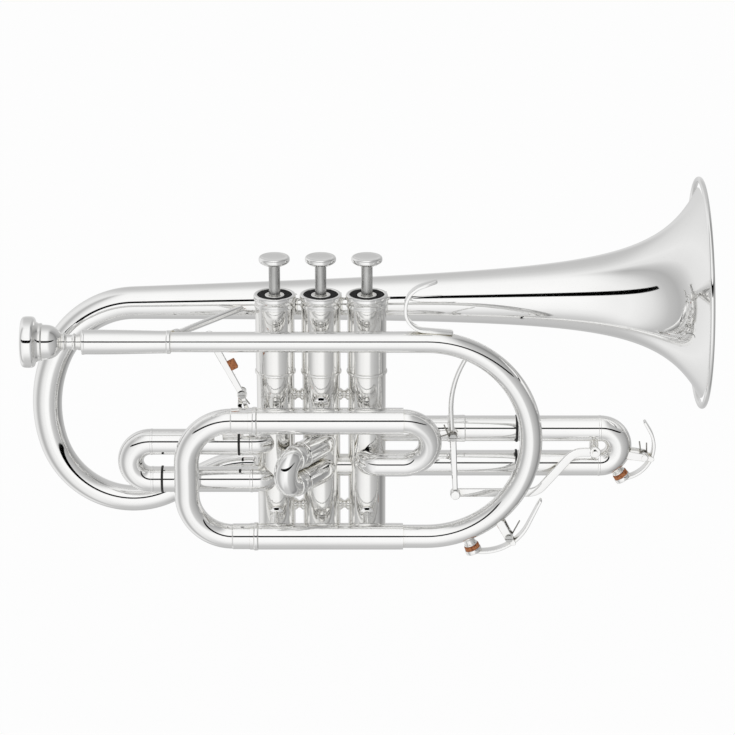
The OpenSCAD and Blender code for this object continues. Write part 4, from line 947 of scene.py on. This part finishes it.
def torsion(pivot, y0, y1, r, wire, legs, turns=3.0):
    """A coiled torsion spring with two straight legs to (x, z) points."""
    pivot = Vector(pivot)
    shells = [coil((pivot.x, y0 + wire, pivot.y), Y, r, wire, y1 - y0 - 2 * wire, turns)]
    for (x, z), y in zip(legs, (y0 + wire, y1 - wire)):
        end = Vector((x, z))
        away = (end - pivot).normalized()
        begin = pivot + Vector((-away.y, away.x)) * r * (1 if y == y0 + wire else -1)
        a, b = Vector((begin.x, y, begin.y)), Vector((end.x, y, end.y))
        t = (b - a).normalized()
        shells.append(solid([(a - t * 0.3, t, wire), (b - t * 0.15, t, wire), (b, t, wire * 0.6)], 12))
    return shells


build("first_spring", torsion(FIRST_PIVOT, -9.8, -7.8, 1.6, 0.35,
                              (FIRST_PIVOT + Vector((-4.0, 9.0)), FIRST_PIVOT + Vector((3.5, -7.5)))),
      ["first_trigger_spring"])

# ---- third trigger

THIRD_PIVOT = Vector((66.8, -32.9))
THIRD_ARM, THIRD_LEAN = 32.6, radians(2.8)
THIRD_JOINT = THIRD_PIVOT + Vector((sin(THIRD_LEAN), -cos(THIRD_LEAN))) * THIRD_ARM
LEVER3_Y = (-12.2, -10.2)
LINK3_Y = (-9.9, -8.3)
collar3 = [(SLEEVE_R - 0.05, 0, C), (6.7, 0), (6.9, 0.3), (6.95, 1.0), (6.85, 4.0), (6.85, 5.0),
           (6.95, 8.0), (6.9, 8.7), (6.7, 9), (SLEEVE_R - 0.05, 9, C)]
build("third_post", [
    lathe(smooth(collar3, 2), (THIRD_PIVOT.x - 2.4, 0, THIRD_Z[0]), X, 64, True),
    turned([(1.05, 0), (2.1, 0), (2.3, 0.2), (2.3, 3.0), (1.05, 3.0)], THIRD_PIVOT, -10.15, 32, True),
], ["third_trigger_post"])

y3 = sum(LEVER3_Y) / 2
stem = Path((THIRD_PIVOT.x - 0.5, y3, THIRD_PIVOT.y + 1.5),
            Vector((-sin(radians(3)), 0, cos(radians(3)))),
            Vector((-cos(radians(3)), 0, -sin(radians(3)))))
stem.go(10.5, 1.35, 1.3, 2).turn(52, -32, 1.3, 1.15).go(2.5, 1.15)
pad = stem.p.copy()
build("third_lever", [
    solid(stem.stations, 24),
    lathe(smooth([(0, -0.8), (2.8, -0.75), (3.4, -0.5), (3.6, 0), (3.4, 0.5), (2.8, 0.75), (0, 0.8)], 2),
          pad + stem.t * 1.6, stem.left, 40),
    turned(eye(1.05, 2.6, 2.0), THIRD_PIVOT, LEVER3_Y[0], 40, True),
    plate(slab(THIRD_PIVOT.lerp(THIRD_JOINT, 0.05), THIRD_JOINT.lerp(THIRD_PIVOT, 0.068), 1.7, 1.3),
          LEVER3_Y[0] + 0.1, LEVER3_Y[1] - 0.1, 0.45),
    turned(eye(1.75, 2.6, 2.0), THIRD_JOINT, LEVER3_Y[0], 40, True),
], ["third_trigger_lever"])

slope, link_bend = 50.0, 10.0
rise, run = sin(radians(slope)), cos(radians(slope))
slant = (stay_z - THIRD_JOINT.y - 2 * link_bend * (1 - run)) / rise
flat = STAY_X - THIRD_JOINT.x - 2 * link_bend * rise - slant * run - 6
bar = Path((THIRD_JOINT.x, sum(LINK3_Y) / 2, THIRD_JOINT.y), X, Z)
bar.go(flat, 1).turn(link_bend, slope, 1).go(slant, 1).turn(link_bend, -slope, 1).go(3.6, 1)
section = rounded(2.2, 0.8, 0.35)
build("third_link_bar", [
    solid(bar.stations, 0, section),
    turned(eye(0, 2.6, 1.6), THIRD_JOINT, LINK3_Y[0], 40),
    lathe(eye(1.25, 2.8, 1.6), (STAY_X, LINK3_Y[0], stay_z), Y, 40, True),
    turned([(1.0, 0), (1.0, 3.2)], THIRD_JOINT, LEVER3_Y[0] - 0.3, 28),
    turned([(0.9, 0), (2.1, 0.1), (2.4, 0.4), (2.4, 1.2)], THIRD_JOINT, LEVER3_Y[0] - 1.3, 40),
], ["third_trigger_link"])
build("third_spring", torsion(THIRD_PIVOT, -14.8, -12.7, 1.8, 0.35,
                              (THIRD_PIVOT + Vector((-4.6, 6.8)), THIRD_PIVOT + Vector((-9.6, -1.2)))),
      ["third_trigger_spring"])

# ---- water keys

KEY_W = 6.0
CORK_H = 3.6


def key(prefix, saddle_node, lever_node, cork_node, spring_node, bend, nipple_angle, reach, y, pivot,
        centre, r, angles, tip, foot, depth, legs, pin):
    """A water key on a bend: nipple, cheeks, cork in its cup, curved lever and spring."""
    out = Vector((sin(radians(nipple_angle)), 0, -cos(radians(nipple_angle))))
    seat_at = Vector((bend[0], y, bend[1])) + out * reach
    pivot = Vector(pivot)
    nipple = [
        (1.5, -depth, C), (4.0, -depth), (3.7, -depth + 0.5), (3.0, -depth + 1.1), (2.8, -depth + 1.6),
        (2.85, -1.2), (3.3, -0.95), (3.4, -0.6), (3.35, -0.15), (3.1, 0), (1.5, 0, C),
    ]
    shells = [lathe(smooth(nipple, 2), seat_at, out, 48, True)]
    for s in (-1, 1):
        inner = y + s * (KEY_W / 2 + 0.1)
        outer = inner + s * 1.0
        shells.append(plate(slab(foot, pivot, 2.1, 1.9), min(inner, outer), max(inner, outer), 0.2))
    if pin:
        shells.append(turned([(0, 0), (1.5, 0.1), (1.6, 0.3), (1.6, 0.6), (1.0, 0.7), (1.0, 8.4), (1.6, 8.5),
                              (1.6, 8.8), (1.5, 9.0), (0, 9.1)], pivot, y - 4.55, 28))
    build(prefix + "_saddle", shells, [saddle_node])
    cork = [(0, 0.03), (3.4, 0.03), (3.75, 0.2), (3.85, 0.6), (3.88, CORK_H, C), (0, CORK_H)]
    build(prefix + "_cork", [lathe(smooth(cork, 2), seat_at, out, 40)], [cork_node])
    cup = [
        (3.92, 2.1, C), (4.1, 2.1), (4.2, 2.25), (4.2, 3.9), (4.1, 4.3), (3.6, 4.5, C), (0, 4.5, C),
        (0, 3.62, C), (3.92, 3.62, C),
    ]
    a0, a1 = angles
    first = radians(a0)
    begin = Vector((centre[0] + r * cos(first), y, centre[1] + r * sin(first)))
    heading = radians(a0 + 90)
    lever = Path(begin, Vector((cos(heading), 0, sin(heading))),
                 Vector((-sin(heading), 0, cos(heading))))
    lever.turn(r, a1 - a0, 1).go(tip - 0.5, 1, 0.85, 4).go(0.5, 0.85, 0.6)
    lever_shells = [
        lathe(smooth(cup, 1), seat_at, out, 48),
        solid(lever.stations, 0, rounded(0.8, 2.5, 0.4)),
        turned([(1.05, 0), (2.1, 0), (2.3, 0.2), (2.3, 1.3), (1.05, 1.3)], pivot, y - 3, 32, True),
        turned([(1.05, 0), (2.3, 0), (2.3, 1.1), (2.1, 1.3), (1.05, 1.3)], pivot, y + 1.7, 32, True),
    ]
    near = min(lever.stations, key=lambda s: (Vector((s[0].x, s[0].z)) - pivot).length)[0]
    toward = (Vector((near.x, near.z)) - pivot).normalized()
    for s in (-1, 1):
        lug = slab(pivot + toward * 1.4, (near.x, near.z), 1.2, 1.4)
        lever_shells.append(plate(lug, y + s * 2.35 - 0.6, y + s * 2.35 + 0.6, 0.15))
    build(prefix + "_lever", lever_shells, [lever_node])
    build(prefix + "_spring", torsion(pivot, y - 1.3, y + 1.3, 1.5, 0.35, legs), [spring_node])


BEND_CENTRE = (LEAD_END, LEAD_Z - BIG_R)
foot_angle = radians(40.5)
key("water_key", "water_key_saddle", "water_key_lever", "water_key_cork", "water_key_spring",
    BEND_CENTRE, 22, 61.6, FRONT_Y, (95.4, -83.3), (82, -66.5), 25.4, (-100, -25), 15.4,
    (BEND_CENTRE[0] + 58.2 * sin(foot_angle), BEND_CENTRE[1] - 58.2 * cos(foot_angle)),
    4.7, ((92.0, -76.6), (101.0, -75.4)), False)
key("third_key", "third_key_saddle", "third_key_lever", "third_key_cork", "third_key_spring",
    (THIRD_CROOK, stay_z), 34.5, 18, 0, (165.3, -48.6), (152.5, -43.5), 17.6, (-84, 30), 5.9,
    (THIRD_CROOK + third_r + 5.6, -47.4), 3.2, ((162.6, -40.4), (166.5, -42.0)), True)

# ---- hook and braces

hook = Path((66.0, FRONT_Y, 26.6), Vector((cos(radians(176)), 0, sin(radians(176)))),
            Vector((-sin(radians(176)), 0, cos(radians(176)))))
hook.go(1.0, 0.7, 1).go(13.0, 1).turn(10.4, -86, 1).go(1.5, 1).turn(12, -70, 1).go(7.3, 1, 0.95)
hook.go(0.8, 0.95, 0.7)
build("hook", [solid(hook.stations, 0, rounded(0.85, 2.5, 0.4))], ["finger_hook"])

brace_a = Vector((-73.5, FRONT_Y + 3.9, LEAD_Z + 2.2))
brace_b = Vector((-38.0, 23.0, LEAD_Z + 3.2))
build("bell_brace_rod", [post(brace_a, brace_b, 1.75, 2.7, 3.6)], ["bell_brace"])

posts = []
for n, z, target in ((1, -76.6, LOWER_Z), (3, -76.6, LOWER_Z), (2, -16.4, UPPER_Z)):
    foot = [(Vector((valve_x(n), -CASING_R - h, z)), -Y, r)
            for h, r in ((0, 3.7), (0.7, 3.75), (0.9, 3.65), (1.1, 3.3), (1.3, 2.3), (1.5, 2.0))]
    posts.append(solid(foot, 32, None, (casing_seat(n), None)))
    a = Vector((valve_x(n), -CASING_R - 1.2, z))
    b = Vector((valve_x(n), FRONT_Y + SLEEVE - 0.4, z + (target - z) * 0.62))
    posts.append(post(a, b, 1.9, 3.75, 1.1, feet=(False, False)))
build("sleeve_posts", posts, ["slide_posts"])

shells = []
for n in (1, 3):
    a = Vector((valve_x(n), COLLAR_R - 0.2, 22))
    bell_low = 28 - flare_r(BELL_MOUTH[0] - valve_x(n)) * 0.98
    shells.append(post(a, Vector((valve_x(n), bell_low + 1.0, 24.6)), 1.9, 3.2, 0.9))
build("bell_posts", shells, ["casing_to_bell_brace"])

# ---- CAD pieces that stay

for name, obj in frame["nodes"].items():
    if obj.hide_render:
        continue
    obj.data.materials.clear()
    obj.data.materials.append(LOOK[SLOT_OF[name]])

# ---- floor, light and camera

FLOOR_DROP = 0.12
FLOOR_HALF = 9.0
mesh = bpy.data.meshes.new("floor")
z = cad_box[0][2] - FLOOR_DROP
corners = [(x * FLOOR_HALF, y * FLOOR_HALF, z) for x, y in ((-1, -1), (1, -1), (1, 1), (-1, 1))]
mesh.from_pydata(corners, [], [[0, 1, 2, 3]])
floor = bpy.data.objects.new("floor", mesh)
bpy.context.scene.collection.objects.link(floor)
mat, tree, coords = new_material("pale_floor")
grain = noise(tree, coords, 30, 3)
diffuse = node(tree, "BsdfDiffuse")
tree.links.new(mix_colour(tree, grain, (0.93, 0.93, 0.93), (0.9, 0.9, 0.9)), diffuse.inputs["Color"])
glow = node(tree, "Emission", Strength=1.0)
glow.inputs["Color"].default_value = (1, 1, 1, 1)
both = node(tree, "MixShader")
both.inputs[0].default_value = 0.96
tree.links.new(diffuse.outputs[0], both.inputs[1])
tree.links.new(glow.outputs[0], both.inputs[2])
ray = node(tree, "LightPath")
clear = node(tree, "BsdfTransparent")
shown = node(tree, "MixShader")
tree.links.new(ray.outputs["Is Camera Ray"], shown.inputs[0])
tree.links.new(clear.outputs[0], shown.inputs[1])
tree.links.new(both.outputs[0], shown.inputs[2])
out = node(tree, "OutputMaterial")
tree.links.new(shown.outputs[0], out.inputs["Surface"])
mesh.materials.append(mat)

CAMERA_ELEVATION = 20.3
# the dark slot: half its height, its middle and half its width in degrees, and how fast it narrows
SLOT_HALF, SLOT_MIDDLE, SLOT_REACH, SLOT_TAPER = 5.6, 5, 61, 0.0011


def maths(tree, operation, a, b=None, c=None):
    n = node(tree, "Math", operation=operation)
    for i, value in enumerate((a, b, c)):
        if value is None:
            continue
        if isinstance(value, (int, float)):
            n.inputs[i].default_value = value
        else:
            tree.links.new(value, n.inputs[i])
    return n.outputs[0]


def window(tree, value, middle, half, edge):
    """1 where value is within half of middle, falling to 0 over edge."""
    off = maths(tree, "ABSOLUTE", maths(tree, "SUBTRACT", value, middle))
    ramp = node(tree, "MapRange")
    ramp.interpolation_type = "SMOOTHSTEP"
    ramp.inputs["From Min"].default_value = half
    ramp.inputs["From Max"].default_value = half + edge
    ramp.inputs["To Min"].default_value = 1
    ramp.inputs["To Max"].default_value = 0
    tree.links.new(off, ramp.inputs["Value"])
    return ramp.outputs["Result"]


def levels(tree, angle, stops):
    """Brightness by angle in degrees, from (angle, brightness) stops."""
    n = node(tree, "ValToRGB")
    ramp = n.color_ramp
    ramp.interpolation = "LINEAR"
    while len(ramp.elements) < len(stops):
        ramp.elements.new(0.5)
    for element, (at, level) in zip(ramp.elements, stops):
        element.position = (at + 180) / 360
        element.color = (level, level, level, 1)
    tree.links.new(maths(tree, "MULTIPLY_ADD", angle, 1 / 360, 0.5), n.inputs["Fac"])
    return n.outputs["Color"]


# brightness of the light tent over the top, from behind below to behind above,
# and round the sides, from behind on the left to behind on the right
OVER = [
    (-180, 0.72), (-150, 0.58), (-124, 0.5), (-92, 0.56), (-73, 0.57), (-58, 0.66), (-44, 0.82),
    (-27, 0.95), (-3, 1.0), (43, 1.0), (76, 0.97), (90, 0.88), (104, 0.72), (121, 0.6), (140, 0.56),
    (160, 0.56), (180, 0.72),
]
ROUND = [
    (-180, 0.62), (-121, 0.84), (-100, 0.78), (-88, 0.6), (-75, 0.46), (-62, 0.54), (-45, 0.78), (-30, 0.9),
    (-5, 0.9), (0, 0.84), (18, 0.66), (47, 0.5), (75, 0.4), (97, 0.24), (110, 0.33), (133, 0.46), (180, 0.62),
]


def studio():
    """A light tent, open to the dark in a slot at the camera's height, and white behind the object."""
    world = bpy.data.worlds.new("studio")
    bpy.context.scene.world = world
    world.use_nodes = True
    tree = world.node_tree
    tree.nodes.clear()
    direction = node(tree, "TexCoord").outputs["Generated"]
    split = node(tree, "SeparateXYZ")
    tree.links.new(direction, split.inputs[0])
    x, y, z = split.outputs
    front = maths(tree, "MULTIPLY", y, -1)
    degrees = math.degrees(1)
    elevation = maths(tree, "MULTIPLY", maths(tree, "ARCSINE", z), degrees)
    azimuth = maths(tree, "MULTIPLY", maths(tree, "ARCTAN2", x, front), degrees)
    over = maths(tree, "MULTIPLY", maths(tree, "ARCTAN2", z, front), degrees)
    middle = window(tree, x, 0, 0.14, 0.3)
    tent = node(tree, "Mix")
    tree.links.new(middle, tent.inputs[0])
    tree.links.new(levels(tree, azimuth, ROUND), tent.inputs[2])
    tree.links.new(levels(tree, over, OVER), tent.inputs[3])
    # the slot narrows towards its ends
    aside = maths(tree, "MULTIPLY", azimuth, azimuth)
    height = maths(tree, "ABSOLUTE", maths(tree, "SUBTRACT", elevation, CAMERA_ELEVATION))
    height = maths(tree, "MULTIPLY_ADD", aside, SLOT_TAPER, height)
    across = window(tree, azimuth, SLOT_MIDDLE, SLOT_REACH, 1.5)
    slot = maths(tree, "MULTIPLY", across, window(tree, height, 0, SLOT_HALF, 1.2))
    light = maths(tree, "MULTIPLY", tent.outputs[0], maths(tree, "SUBTRACT", 1, slot))
    ray = node(tree, "LightPath")
    seen = maths(tree, "MAXIMUM", light, ray.outputs["Is Camera Ray"])
    background = node(tree, "Background")
    tree.links.new(seen, background.inputs["Strength"])
    background.inputs["Color"].default_value = (1, 1, 1, 1)
    out = node(tree, "OutputWorld")
    tree.links.new(background.outputs[0], out.inputs["Surface"])


studio()

AIM = row((23.5, 0, -0.6))
DISTANCE = 1.48
LENS = 142.9
elevation = radians(CAMERA_ELEVATION)
camera_data = bpy.data.cameras.new("camera")
camera_data.sensor_width = 36
camera_data.lens = LENS
camera = bpy.data.objects.new("camera", camera_data)
bpy.context.scene.collection.objects.link(camera)
camera.location = AIM + Vector((0, -cos(elevation), sin(elevation))) * DISTANCE
camera.rotation_euler = (AIM - camera.location).to_track_quat("-Z", "Y").to_euler()
bpy.context.scene.camera = camera
bpy.context.scene.view_settings.view_transform = "Standard"
